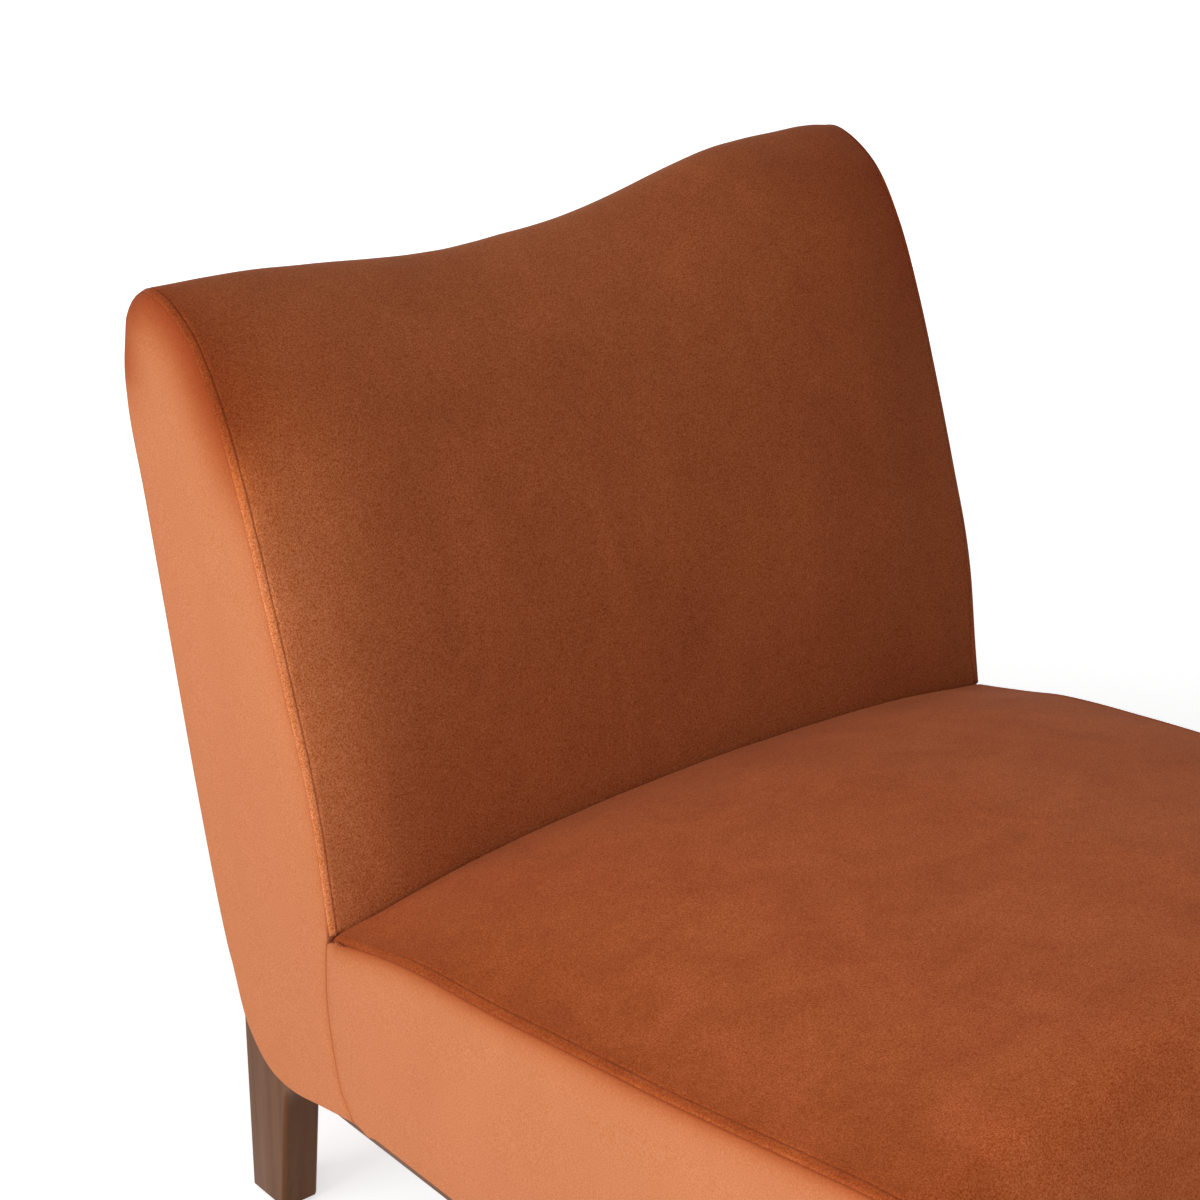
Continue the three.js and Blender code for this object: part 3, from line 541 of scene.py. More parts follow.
def threadLook(tree):
    twist = noiseNode(tree, objectPlace(tree), 2600, 1)
    return {
        "Base Color": mixColors(tree, twist, (0.2, 0.036, 0.01, 1), (0.31, 0.062, 0.017, 1)),
        "Roughness": 0.8, "Specular IOR Level": 0.1,
    }


# Wood: long streaks along the board, fine pores in them, and slow changes of tone
woods = {
    "walnut": {
        "dark": (0.078, 0.023, 0.0058, 1), "light": (0.165, 0.058, 0.0165, 1),
        "streakScale": 70.0, "pores": 0.35, "coat": 0.04,
    },
    "frameBeech": {
        "dark": (0.42, 0.28, 0.15, 1), "light": (0.62, 0.45, 0.27, 1),
        "streakScale": 55.0, "pores": 0.2, "coat": 0.0,
    },
}
grainStretch = {"Up": (1, 1, 0.06), "Along": (1, 0.06, 1), "Across": (0.06, 1, 1)}


def woodLook(tree, look, stretch):
    spot, scale = objectPlace(tree, stretch), look["streakScale"]
    streak = noiseNode(tree, spot, scale, 5, 0.35)
    slow = noiseNode(tree, spot, scale * 0.22, 2, 0.5)
    pore = noiseNode(tree, spot, scale * 9, 2)
    share = maths(tree, "ADD", between(tree, streak, 0.3, 0.7, 0, 0.7),
                  between(tree, slow, 0.35, 0.65, -0.1, 0.35), clamp=True)
    body = mixColors(tree, share, look["dark"], look["light"])
    pits = maths(tree, "MULTIPLY", between(tree, pore, 0.6, 0.72), look["pores"])
    deep = mixColors(tree, 1.0, look["dark"], (0.35, 0.35, 0.35, 1), "MULTIPLY")
    return {
        "Base Color": mixColors(tree, pits, body, deep),
        "Roughness": between(tree, streak, 0.3, 0.7, 0.5, 0.38),
        "Specular IOR Level": 0.25, "Specular Tint": (1, 0.82, 0.6, 1),
        "Coat Weight": look["coat"], "Coat Roughness": 0.4,
        "Normal": bump(tree, maths(tree, "SUBTRACT", streak, pits), 0.0003, 0.3),
    }


def foamLook(tree):
    cells = cellNode(tree, objectPlace(tree), 420)
    share = between(tree, cells, 0.1, 0.6)
    return {
        "Base Color": mixColors(tree, share, (0.60, 0.52, 0.36, 1), (0.82, 0.76, 0.60, 1)),
        "Roughness": 0.95, "Specular IOR Level": 0.1, "Normal": bump(tree, cells, 0.0008, 0.6),
    }


def feltLook(tree):
    spot = objectPlace(tree)
    fibres = noiseNode(tree, spot, 700, 3, 1.5)
    dimples = between(tree, cellNode(tree, spot, 380, 0.15), 0.1, 0.5)
    return {
        "Base Color": mixColors(tree, fibres, (0.014, 0.014, 0.016, 1), (0.040, 0.040, 0.044, 1)),
        "Roughness": 0.92, "Specular IOR Level": 0.2,
        "Normal": bump(tree, maths(tree, "ADD", dimples, fibres), 0.0003, 0.5),
    }


# Strap webbing: two crossing sets of threads
def webbingLook(tree):
    spot = objectPlace(tree)
    weave = maths(tree, "MULTIPLY", *(
        newNode(tree, "ShaderNodeTexWave", {"Vector": spot, "Scale": scale, "Distortion": 0.4},
                bands_direction=axis).outputs["Fac"] for axis, scale in (("X", 190), ("Z", 330))))
    fuzz = noiseNode(tree, spot, 1200, 2)
    share = maths(tree, "MULTIPLY_ADD", fuzz, 0.4, maths(tree, "MULTIPLY", weave, 0.6), clamp=True)
    return {
        "Base Color": mixColors(tree, share, (0.050, 0.050, 0.046, 1), (0.135, 0.13, 0.12, 1)),
        "Roughness": 0.88, "Specular IOR Level": 0.2, "Normal": bump(tree, weave, 0.0006, 0.6),
    }


def steelLook(tree):
    spot = objectPlace(tree)
    scale = noiseNode(tree, spot, 160, 4, 0.4)
    share = between(tree, scale, 0.35, 0.65)
    return {
        "Base Color": mixColors(tree, share, (0.20, 0.21, 0.22, 1), (0.44, 0.45, 0.46, 1)),
        "Metallic": 1.0, "Roughness": between(tree, scale, 0.3, 0.7, 0.45, 0.28),
        "Normal": bump(tree, noiseNode(tree, spot, 900, 2), 0.0001, 0.4),
    }


def nylonLook(tree):
    scuffs = noiseNode(tree, objectPlace(tree), 260, 5, 0.8)
    return {
        "Base Color": mixColors(tree, scuffs, (0.022, 0.020, 0.018, 1), (0.060, 0.056, 0.052, 1)),
        "Roughness": between(tree, scuffs, 0.35, 0.65, 0.42, 0.6), "Specular IOR Level": 0.45,
        "Normal": bump(tree, scuffs, 0.0002, 0.3),
    }


velvet = {name: newMaterial(name, velvetLook, look) for name, look in velvets.items()}
wood = {
    kind + way: newMaterial(kind + way, woodLook, look, stretch)
    for kind, look in woods.items() for way, stretch in grainStretch.items()
}
thread = newMaterial("stitchThread", threadLook)
foamMaterial = newMaterial("polyFoam", foamLook)
feltMaterial = newMaterial("blackCloth", feltLook)
webbingMaterial = newMaterial("strapWebbing", webbingLook)
steelMaterial = newMaterial("springSteel", steelLook)
nylonMaterial = newMaterial("glideNylon", nylonLook)
print("materials made")


# Swells a cover along its free rows, then adds its small unevenness and the pull of its seams
def swelled(name, outer, freeRows, pad):
    normals, beside = gridNormals(outer), frameHalfWidth - np.abs(columns["x"])
    held = np.ones(outer.shape[:2], bool)
    held[np.ix_(freeRows, beside > clothRun["clear"])] = False
    outer = outer + settle(name, outer, normals, held, pad["swellCap"])
    lift = softWaves(outer, pad["waves"]) * ease(beside, 0, clothRun["calmReach"])
    if "pucker" in pad:
        height, length, reach = pad["pucker"]
        apart = np.maximum(fromSide(columns["x"]) - pad["stitchesIn"], 0)
        pulled = softWaves(outer * (0.3, 1, 1), [(height, length)])
        lift = lift + pulled * fading(apart, 1, reach) * (apart > 0)
    return outer + normals * lift[:, :, None]


# Inside-back cover: over the face and the top, tucked down behind the seat
backPad = {
    "crown": 0.0, "edgePuff": 0.0105, "edgeReach": 0.085, "swellCap": 0.008,
    "waves": [(0.0011, 0.11), (0.0005, 0.035)], "fill": 0.9, "stitchesIn": 0.0075, "tuckClear": 0.001,
    # Painted shade near the sides at the top; painted light beside the left seam, with a painted highlight on
    # its roll, and painted shade at the far side
    "paintedShadeFrom": (0.55, 0.67), "paintedShadeReach": 0.03,
    "paintedPaleBelow": (0.60, 0.665), "paintedPale": (0.40, 0.115), "paintedPaleRoll": (0.75, 0.012),
    "paintedGlint": (0.10, 0.0018, 0.0007), "paintedFarShade": (0.15, 0.08, 0.3), "pucker": (0.0015, 0.018, 0.018),
}


# A painted highlight: a thin light line on the roll
def paintedGlintOn(x, paintedGlint):
    most, inward, width = paintedGlint
    return fading(fromSide(x) - inward, most, width, 2)


# Painted shade near the sides of the back's upper part
def paintedShadeOnBack(x, y, z):
    return ease(z, *backPad["paintedShadeFrom"]) * fading(fromSide(x), 1, backPad["paintedShadeReach"])


# Painted light, palest beside the left seam and most of all on its roll, and painted shade at the far side
def paintedLightOnBack(x, y, z):
    (wide, reach), (dark, *farReach) = backPad["paintedPale"], backPad["paintedFarShade"]
    paintedPale = wide * (1 - ease(fromSide(x), 0, reach)) + fading(fromSide(x), *backPad["paintedPaleRoll"])
    near = paintedPale * (1 - ease(z, *backPad["paintedPaleBelow"])) + paintedGlintOn(x, backPad["paintedGlint"])
    return (x < 0) * near - dark * ease(x, *farReach)


def buildBackCover():
    x = columns["x"]
    outerX, lift, innerX, lining = rollRows(turned(backFace[1]), 0)
    outer = backLayer(backFace, outerX, lift, backPad)
    inner = backLayer(backFace, innerX, lining, backPad)
    low = backFace[0][:, 1] < jointHeight - backPad["tuckClear"]
    outer = swelled("backCover", outer, np.flatnonzero(~low)[:-3], backPad)
    kept = np.ones((outer.shape[0] - 1, outer.shape[1] - 1), bool)
    kept[np.ix_(low[:-1], np.abs((x[1:] + x[:-1]) / 2) > frameHalfWidth)] = False
    velvetShell("backCover", "back_cover", "shadedVelvetFace", outer, inner, kept,
                (paintedShadeOnBack, paintedLightOnBack))
    return outer[~low]


backGrid = buildBackCover()
print("back cover made")


# Seat cover: up the front from its turned-under hem, over the crown and down into the joint
seatPad = {
    "crown": 0.040, "swellCap": 0.010, "waves": [(0.0010, 0.13), (0.0004, 0.04)], "fill": 0.9,
    "reachBack": 0.05, "roll": 0.010, "edgeRoll": 0.004, "leastRoll": 0.0004, "rollReach": 0.03,
    "rollSteps": 8, "rollClear": 0.001, "tuck": 0.02, "edgeTuck": 0.001, "thinner": 0.0005,
    "hemDrop": 0.002, "hemRadius": 0.002, "hemCorner": 0.3, "hemTurn": 0.012, "liningUp": 0.0015,
    # Painted shade on the roll beside each side seam, and a painted highlight on that roll which fades
    # towards the back
    "paintedShade": (0.6, 0.045), "paintedShadeRoll": (0.4, 0.007), "paintedGlint": (0.25, 0.0018, 0.0007),
    "paintedGlintFade": (-0.15, 0.05),
}


def backFaceAt(height):
    line = backFace[0]
    upper = line[:, 1].argmax()
    return np.interp(height, line[:upper, 1], line[:upper, 0])


# Brings the seat's rear end to the back's face, then rolls it over and tucks it down the back
def meetBack(grid, gap, radius, tuck, rows=None):
    end = grid[-1].copy()
    end[:, 1] = backFaceAt(end[:, 2]) - gap
    away = np.linalg.norm(grid - grid[-1][None], axis=2)
    share = 1 - ease(away, 0, seatPad["reachBack"])
    grid = grid.copy()
    grid[:, :, 1] += (end[:, 1] - grid[-1, :, 1])[None, :] * share
    heading = np.arctan2(end[:, 2] - grid[-6, :, 2], end[:, 1] - grid[-6, :, 1])
    slant = math.atan(faceSlope)
    turn = heading + math.pi / 2 + slant
    run = radius * np.tan(turn / 2)
    if rows is None:
        near = np.linalg.norm((grid - end[None])[:, :, 1:], axis=2) < run[None, :] + seatPad["rollClear"]
        rows = int(near.any(axis=1).argmax())
    centreY = end[:, 1] - run * np.cos(heading) + radius * np.sin(heading)
    centreZ = end[:, 2] - run * np.sin(heading) - radius * np.cos(heading)
    added = []
    for k in range(seatPad["rollSteps"] + 1):
        angle = heading - turn * k / seatPad["rollSteps"]
        y, z = centreY - radius * np.sin(angle), centreZ + radius * np.cos(angle)
        added.append(np.stack([end[:, 0], y, z], 1))
    for k in (1, 2, 3):
        down = added[seatPad["rollSteps"]].copy()
        down[:, 1] -= tuck * k / 3 * math.sin(slant)
        down[:, 2] -= tuck * k / 3 * math.cos(slant)
        added.append(down)
    return np.concatenate([grid[:rows], np.array(added)]), rows


# Carries a cover's lower end round a small hem and a little way under the frame
def turnUnder(grid, inward, thickness=0.0):
    bottom = chair["underside"] - seatPad["hemDrop"]
    turn, radius, first = seatPad["hemTurn"], seatPad["hemRadius"], grid[0]
    corner, added = seatPad["hemCorner"] * radius, []
    for y, z in ((turn, 0), (turn / 2, 0), (radius, 0), (corner, corner), (0, radius)):
        row = first.copy()
        row[:, 1] = first[:, 1] + inward * max(y, thickness)
        row[:, 2] = bottom + max(z, thickness)
        added.append(row)
    return np.concatenate([np.array(added), grid])


# Painted shade beside the seat's side seams, strongest on their roll
def paintedShadeOnSeat(x, y, z):
    return fading(fromSide(x), *seatPad["paintedShade"]) + fading(fromSide(x), *seatPad["paintedShadeRoll"])


# A painted highlight on the seat's roll, fading towards the back
def paintedLightOnSeat(x, y, z):
    return paintedGlintOn(x, seatPad["paintedGlint"]) * (1 - ease(y, *seatPad["paintedGlintFade"]))


def buildSeatCover():
    plain = 1 - ease(jointY - seatTop[0][:, :1], *edgeRoll["plainReach"])
    outerX, lift, innerX, lining = rollRows(0, plain)
    outer = seatLayer(outerX, lift, seatPad["crown"])
    inner = seatLayer(innerX, lining, seatPad["crown"])
    outer = swelled("seatCover", outer, np.arange(4, len(outer) - 3), seatPad)
    inward = ease(frameHalfWidth - np.abs(columns["x"]), 0, seatPad["rollReach"])
    radius = seatPad["edgeRoll"] + (seatPad["roll"] - seatPad["edgeRoll"]) * inward
    tuck = seatPad["edgeTuck"] + (seatPad["tuck"] - seatPad["edgeTuck"]) * (inward > 0)
    gap = np.maximum(columns["pull"], 0) + chair["fitGap"]
    outer, rows = meetBack(outer, gap, radius, tuck)
    thin = chair["coverThickness"] - seatPad["thinner"]
    radius = np.maximum(radius - thin, seatPad["leastRoll"])
    inner, rows = meetBack(inner, gap + thin, radius, tuck, rows)
    outer, inner = turnUnder(outer, 1), turnUnder(inner, 1, seatPad["liningUp"])
    velvetShell("seatCover", "seat_cover", "shadedVelvetSeat", outer, inner,
                marks=(paintedShadeOnSeat, paintedLightOnSeat))
    return outer[5:]


seatGrid = buildSeatCover()
print("seat cover made")

# Outside back: drawn over the frame between the two side panels, down and under
outsideCloth = {
    "step": 0.007, "crown": 0.0012, "waves": [(0.0006, 0.12)], "sunkRows": (0.0024, 0.0009, 0.0002),
    "edge": [(0, -0.0022), (0.0006, -0.0008), (0.0016, -0.0001), (0.003, 0)], "fill": 0.95,
}


def buildOutsideBack():
    inward, drop = (np.array(part) for part in zip(*outsideCloth["edge"]))
    x, middle = spread(frameHalfWidth, inward, outsideCloth["step"])
    outer = backLayer(outsideBack, x, mirrored(drop, np.zeros(len(middle)))[None, :])
    inner = backLayer(outsideBack, x, -chair["coverThickness"])
    along = np.linspace(0, 1, outer.shape[0])[:, None]
    full = np.sin(np.pi * along) * (1 - (x / frameHalfWidth) ** 4)[None, :] * outsideCloth["crown"]
    full = full + softWaves(outer, outsideCloth["waves"]) * (full > 0)
    outer = outer + gridNormals(outer) * full[:, :, None]
    for k, sunk in enumerate(outsideCloth["sunkRows"]):
        outer[k] -= gridNormals(outer)[k] * sunk
    outer, inner = turnUnder(outer[::-1], -1), turnUnder(inner[::-1], -1, seatPad["liningUp"])
    velvetShell("outsideBack", "outside_back_cover", "velvetSide", outer, inner)


# Side panels: padded cloth with rounded edges, one for the back and one for the seat on each side.
# An edge has its reach across the thickness, its reach into the panel, and how far it starts under
# a cover.
sidePanel = {
    "seam": (0.0014, 0.0012, 0), "cover": (0.005, 0.020, 0.0034), "coverTop": (0.0055, 0.027, 0.0034),
    "seatCover": (0.0044, 0.013, 0.0034), "topRear": (0.0112, 0.022, 0.0007), "rear": (0.009, 0.0146, 0),
    "topReach": (0.56, 0.68), "seamDrop": 0.0024, "cornerReach": 0.035, "cornerClear": 0.006,
    "sagRows": 16, "easedRows": 7, "turns": (0, 15, 30, 45, 60, 75), "step": 0.0035, "easings": 12,
    "inner": 0.005, "rowShare": 0.87, "clearShare": 0.55,
    "crown": 0.0026, "crownReach": 0.03, "waves": [(0.0008, 0.1), (0.0003, 0.03)], "waveReach": 0.04,
    "ridge": (0.0015, 0.0035), "ridgeAside": (0.003, 0.012), "ridgeSpread": 0.05, "ridgeReach": 0.004,
    "hemLump": (0.148, 0.0028, 0.006), "pucker": (0.0010, 0.016, 0.016), "puckerReach": 0.012,
    # Painted shade beside the covers, strongest at the top of the back, and in a thin line along the upright
    # seam
    "paintedShadeTop": (1.0, 0.022, 1.5), "paintedShadeLow": (0.15, 0.004), "paintedShadeSeat": (0.7, 0.0055),
    "paintedSeamShade": (0.25, 0.0014), "fill": 0.95,
}


def spaced(points, step):
    points = np.array(points, float)
    length = np.concatenate([[0], np.cumsum(np.linalg.norm(np.diff(points, axis=0), axis=1))])
    count = max(int(round(length[-1] / step)), 1)
    at = np.linspace(0, length[-1], count + 1)
    return np.stack([np.interp(at, length, points[:, k]) for k in range(points.shape[1])], 1)


# Points with their edge settings, which fall to the seam's own towards a corner
def withEdge(points, edge, share=1.0):
    fallen = mixed(sidePanel["seam"], edge, share)
    fallen[:, 2] = np.atleast_2d(edge)[:, 2]
    return np.concatenate([points, fallen + np.zeros((len(points), 3))], 1)


def fromCorner(points, corner):
    return ease(np.linalg.norm(points - corner, axis=1), 0, sidePanel["cornerReach"])


def plainLayer(line, depth):
    return line[0] - line[1] * np.reshape(depth, (-1, 1))


def mixed(first, second, share):
    return np.array(first) + (np.array(second) - np.array(first)) * np.reshape(share, (-1, 1))


def panelOutlines(side):
    seam, step = sidePanel["seam"], sidePanel["step"]
    hem = chair["underside"] - chair["hemDrop"]
    seamTop = np.array((jointY + coverDepth, jointHeight - coverDepth - sidePanel["seamDrop"]))
    seamFoot = np.array((jointY - chair["baseInset"], hem))
    bowed = [seamFoot + (seamTop - seamFoot) * up + (bow * chair["baseInset"], 0)
             for up, bow in seamBowShares]
    upright = smoothLine([seamTop, *bowed, seamFoot], step)[0]
    gap = (chair["fitGap"] / 2, 0)
    above = backFace[0][:, 1] > jointHeight + coverDepth
    edge = mixed(sidePanel["cover"], sidePanel["coverTop"], ease(backFace[0][:, 1], *sidePanel["topReach"]))
    edge = edge + (np.array(sidePanel["topRear"]) - edge) * turned(backFace[1])
    over = plainLayer(backFace, edge[:, 2])[above]
    over = withEdge(over, edge[above], fromCorner(over, seamTop))
    corner = jointHeight - chair["cornerStartShare"] * jointDrop
    rear = outsideBack[0][outsideBack[0][:, 1] > corner][1:]
    sagging = placed(sagShares, chair["backLean"], chair["underside"], chair["cornerSag"])
    sag = smoothLine([rear[-8], rear[-1], *sagging], step)[0]
    sag = sag[np.linalg.norm(sag - rear[-1], axis=1).argmin() + 1:]
    lower = spaced((sag[-1], upright[-1] + gap), step)[1:-1]
    closing = spaced((upright[0] + gap, over[0, :2]), step)[1:-1]
    sagEdge = mixed(sidePanel["rear"], seam, ease(np.arange(len(sag)), 0, sidePanel["sagRows"]))
    back = np.concatenate([
        over, withEdge(rear, sidePanel["rear"]), withEdge(sag, sagEdge),
        *(withEdge(part, seam) for part in (lower, (upright + gap)[::-1], closing)),
    ])
    low, high = len(over) - sidePanel["easedRows"], len(over) + sidePanel["easedRows"]
    for _ in range(sidePanel["easings"]):  # the small step where the panel leaves the cover
        back[low:high] = (back[low - 1:high - 1] + 2 * back[low:high] + back[low + 1:high + 1]) / 4
    back[:, 1] += topLift(side * halfWidth) * topShare(back[:, 1])
    top = plainLayer(seatTop, sidePanel["seatCover"][2])
    top = top[np.linalg.norm(top - (jointY, jointHeight), axis=1) > sidePanel["cornerClear"]]
    front = np.array((top[0][0], hem))
    down = spaced((top[-1], upright[0] - gap), step)[1:-1]
    floor = spaced((upright[-1] - gap, front), step)[1:]
    lumpY, lumpDrop, lumpWidth = sidePanel["hemLump"]
    floor[:, 1] -= fading(floor[:, 0] - lumpY, lumpDrop, lumpWidth, 2)
    up = spaced((front, top[0]), step)[1:-1]
    share = fromCorner(top, top[-1]) * fromCorner(top, front)
    seat = np.concatenate([withEdge(top, sidePanel["seatCover"], share),
                           *(withEdge(part, seam) for part in (down, upright - gap, floor, up))])
    seat[:, 1] += seatEdgeLift(side * halfWidth, seat[:, 0], seat[:, 1])
    near, far = sidePanel["ridgeAside"]
    aside = near + (far - near) * ease(upright[:, 1], hem, hem + sidePanel["ridgeSpread"])
    ridge = upright + np.stack([aside, 0 * aside], 1)
    return (back, len(over)), (seat, len(top)), ridge, upright


def insideOf(outline, points):
    y, z = points[:, :1], points[:, 1:]
    following = np.roll(outline, -1, axis=0)
    (startY, startZ), (run, rise) = outline.T[:, None], (following - outline).T[:, None]
    crosses = (startZ > z) != (following[None, :, 1] > z)
    where = startY + (z - startZ) / (rise + 1e-15) * run
    return (crosses & (y < where)).sum(axis=1) % 2 == 1


def fromEdge(outline, points):
    return np.linalg.norm(points[:, None] - outline[None], axis=2).min(axis=1)


# How far a panel's face stands out at each spot
def panelRelief(side, line, covered, ridge, spots):
    depth = fromEdge(line, spots)
    places = [Vector((side, y, z)) for y, z in spots]
    waves = sum(h * np.array([noise.noise(p / w) for p in places]) for h, w in sidePanel["waves"])
    height, length, reach = sidePanel["pucker"]
    pulled = np.array([noise.noise(Vector((side * 3, p.y / length, p.z / length))) for p in places])
    lift = sidePanel["crown"] * (1 - np.exp(-depth / sidePanel["crownReach"]))
    lift += waves * ease(depth, 0, sidePanel["waveReach"])
    fade = fading(fromEdge(line[:covered], spots), height * pulled, reach)
    lift += fade * ease(depth, 0, sidePanel["puckerReach"])
    if ridge is not None:
        lift += sideBulge(side * halfWidth, spots[:, 1])
        raised = fading(fromEdge(ridge, spots), *sidePanel["ridge"], 2)
        lift += raised * ease(depth, 0, sidePanel["ridgeReach"])
    return lift


# Points inside a panel's face in staggered rows, and the triangles that join them to its edge
def fillFace(name, face):
    (lowY, lowZ), (highY, highZ), step = face.min(0), face.max(0), sidePanel["inner"]
    rows = enumerate(np.arange(lowZ, highZ, step * sidePanel["rowShare"]))
    grid = np.array([(y + (k % 2) * step / 2, z) for k, z in rows for y in np.arange(lowY, highY, step)])
    grid = grid[insideOf(face, grid)]
    flat = np.concatenate([face, grid[fromEdge(face, grid) > step * sidePanel["clearShare"]]])
    edges = [(i, (i + 1) % len(face)) for i in range(len(face))]
    verts, _, faces, origin, _, _ = delaunay_2d_cdt([Vector(p) for p in flat], edges, [], 1, 1e-7)
    loose = [tuple(vert) for vert, ids in zip(verts, origin) if not ids]
    if loose:
        raise ValueError(f"{name} has crossing edges at {loose}")
    return flat, [[origin[i][0] for i in corners] for corners in faces]


def buildSidePanel(name, node, outline, side, upright, ridge=None):
    outline, covered = outline
    line = outline[:, :2]
    across, into, under = (outline[:, k:k + 1] for k in (2, 3, 4))
    following = np.roll(line, -1, axis=0)
    tangent = following - np.roll(line, 1, axis=0)
    tangent /= np.linalg.norm(tangent, axis=1, keepdims=True)
    area = (line[:, 0] * following[:, 1] - line[:, 1] * following[:, 0]).sum()
    inward = np.stack([-tangent[:, 1], tangent[:, 0]], 1) * np.sign(area)
    rings = [(line, np.full(len(line), halfWidth - chair["panelThickness"]))]
    start = np.arcsin(np.clip(1 - under / into, -1, 1))
    for degrees in sidePanel["turns"]:
        angle = start * (1 - degrees / 90)
        ring = line + inward * (into * (1 - np.sin(angle)) - under)
        out = (halfWidth - across * (1 - np.cos(angle)))[:, 0]
        rings.append((ring, out + panelRelief(side, line, covered, ridge, ring)))
    count, last = len(line), len(rings)
    flat, faces = fillFace(name, line + inward * (into - under))
    rings.append((flat, halfWidth + panelRelief(side, line, covered, ridge, flat)))
    points = [np.stack([side * x, ring[:, 0], ring[:, 1]], 1) for ring, x in rings]
    made = [tuple(range(count))]
    for low in range(0, last * count, count):
        for i in range(count):
            k = (i + 1) % count
            made.append((low + i, low + k, low + count + k, low + count + i))
    made += [tuple(last * count + i for i in corners) for corners in faces]
    mesh = closedMesh(name, np.concatenate(points), made)

    # Painted shade beside the covers and in a thin line along the upright seam
    def paintedShade(x, y, z):
        spot = np.stack([y, z], 1)
        apart = fromEdge(line[:covered], spot)
        seam = fading(fromEdge(upright, spot), *sidePanel["paintedSeamShade"])
        if ridge is None:
            return fading(apart, *sidePanel["paintedShadeSeat"]) + seam
        top = ease(z, *sidePanel["topReach"])
        low = fading(apart, *sidePanel["paintedShadeLow"])
        return low * (1 - top) + fading(apart, *sidePanel["paintedShadeTop"]) * top + seam

    markPile(mesh, paintedShade, lambda x, y, z: 0)
    standFor(place(mesh, velvet["velvetSide"]), [node])


buildOutsideBack()
for label, side in (("Left", -1), ("Right", 1)):
    forBack, forSeat, ridge, upright = panelOutlines(side)
    buildSidePanel("backSide" + label, "back_side_panel_" + label.lower(), forBack, side, upright, ridge)
    buildSidePanel("seatSide" + label, "seat_side_panel_" + label.lower(), forSeat, side, upright)
print("outside back and side panels made")


# Applies an object's modifiers, and puts a named object with the plain mesh in its place
def applied(carrier, name, *materials):
    source = carrier.data
    made = bpy.data.meshes.new_from_object(carrier.evaluated_get(bpy.context.evaluated_depsgraph_get()))
    bpy.data.objects.remove(carrier)
    bpy.data.meshes.remove(source)
    made.name = name
    return place(made, *materials)


# Geometry Nodes: a row of stitches along lines, each a small spindle of thread
def stitchTree():
    tree = bpy.data.node_groups.new("topstitchRow", "GeometryNodeTree")
    for socket, held in (("Line", "Geometry"), ("Pitch", "Float"), ("Stitch Length", "Float"),
                         ("Thread Radius", "Float"), ("Finish", "Material")):
        tree.interface.new_socket(name=socket, in_out="INPUT", socket_type="NodeSocket" + held)
    tree.interface.new_socket(name="Made", in_out="OUTPUT", socket_type="NodeSocketGeometry")
    given = newNode(tree, "NodeGroupInput").outputs

    def step(kind, inputs=None, family="GeometryNode", **settings):
        return newNode(tree, family + kind, inputs, **settings).outputs[0]

    line = step("MeshToCurve", {"Mesh": given["Line"]})
    spots = step("ResampleCurve", {"Curve": line, "Length": given["Pitch"]}, mode="LENGTH")
    ball = step("MeshUVSphere", {"Segments": 6, "Rings": 5, "Radius": 1.0})
    thin, half = given["Thread Radius"], maths(tree, "MULTIPLY", given["Stitch Length"], 0.5)
    size = step("CombineXYZ", {0: thin, 1: thin, 2: half}, "ShaderNode")
    smooth = step("SetShadeSmooth", {0: step("Transform", {"Geometry": ball, "Scale": size})})
    tangent = {"Vector": step("InputTangent")}
    along = step("AlignRotationToVector", tangent, "FunctionNode", axis="Z")
    rows = step("InstanceOnPoints", {"Points": spots, "Instance": smooth, "Rotation": along})
    real = step("RealizeInstances", {0: rows})
    painted = step("SetMaterial", {"Geometry": real, "Material": given["Finish"]})
    newNode(tree, "NodeGroupOutput", {"Made": painted})
    return tree


stitches = stitchTree()


def stitchRows(name, lines, look, finish):
    points, edges = [], []
    for line in lines:
        edges += [(len(points) + i, len(points) + i + 1) for i in range(len(line) - 1)]
        points += [tuple(p) for p in line]
    mesh = bpy.data.meshes.new(name + "Line")
    mesh.from_pydata(points, edges, [])
    carrier = place(mesh)
    rows = carrier.modifiers.new("rows", "NODES")
    rows.node_group = stitches
    given = {**look, "Finish": finish}
    for item in stitches.interface.items_tree:
        if item.name in given:
            rows[item.identifier] = given[item.name]
    return standFor(applied(carrier, name), [])


topstitch = {
    "Pitch": 0.006, "Stitch Length": 0.0048, "Thread Radius": 0.00033, "proud": -0.0002, "seatEnd": 0.08,
}


def buildTopstitch(*covers):
    column = edgeRoll["stitchColumn"]
    for label, col in (("Left", column), ("Right", -1 - column)):
        back, seat = ((grid + gridNormals(grid) * topstitch["proud"])[:, col] for grid in covers)
        seat = seat[seat[:, 1] < jointY - topstitch["seatEnd"]]
        stitchRows("topstitch" + label, [back[2:], seat], topstitch, thread)


buildTopstitch(backGrid, seatGrid)
print("topstitching made")


# Wooden parts: the CAD shape with its edges rounded
eased = {
    "wood": 0.0009, "glide": 0.0006, "segments": 3, "doubles": 0.00002,
    "flat": math.radians(2), "sharp": math.radians(40), "edge": math.radians(25),
}


def merged(name, node, triangles=False):
    work = bmesh.new()
    work.from_mesh(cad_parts[node].data)
    bmesh.ops.remove_doubles(work, verts=work.verts, dist=eased["doubles"])
    bmesh.ops.dissolve_limit(work, angle_limit=eased["flat"], verts=work.verts, edges=work.edges)
    bmesh.ops.recalc_face_normals(work, faces=work.faces)
    if triangles:
        bmesh.ops.triangulate(work, faces=work.faces)
    mesh = bpy.data.meshes.new(name)
    work.to_mesh(mesh)
    work.free()
    return mesh


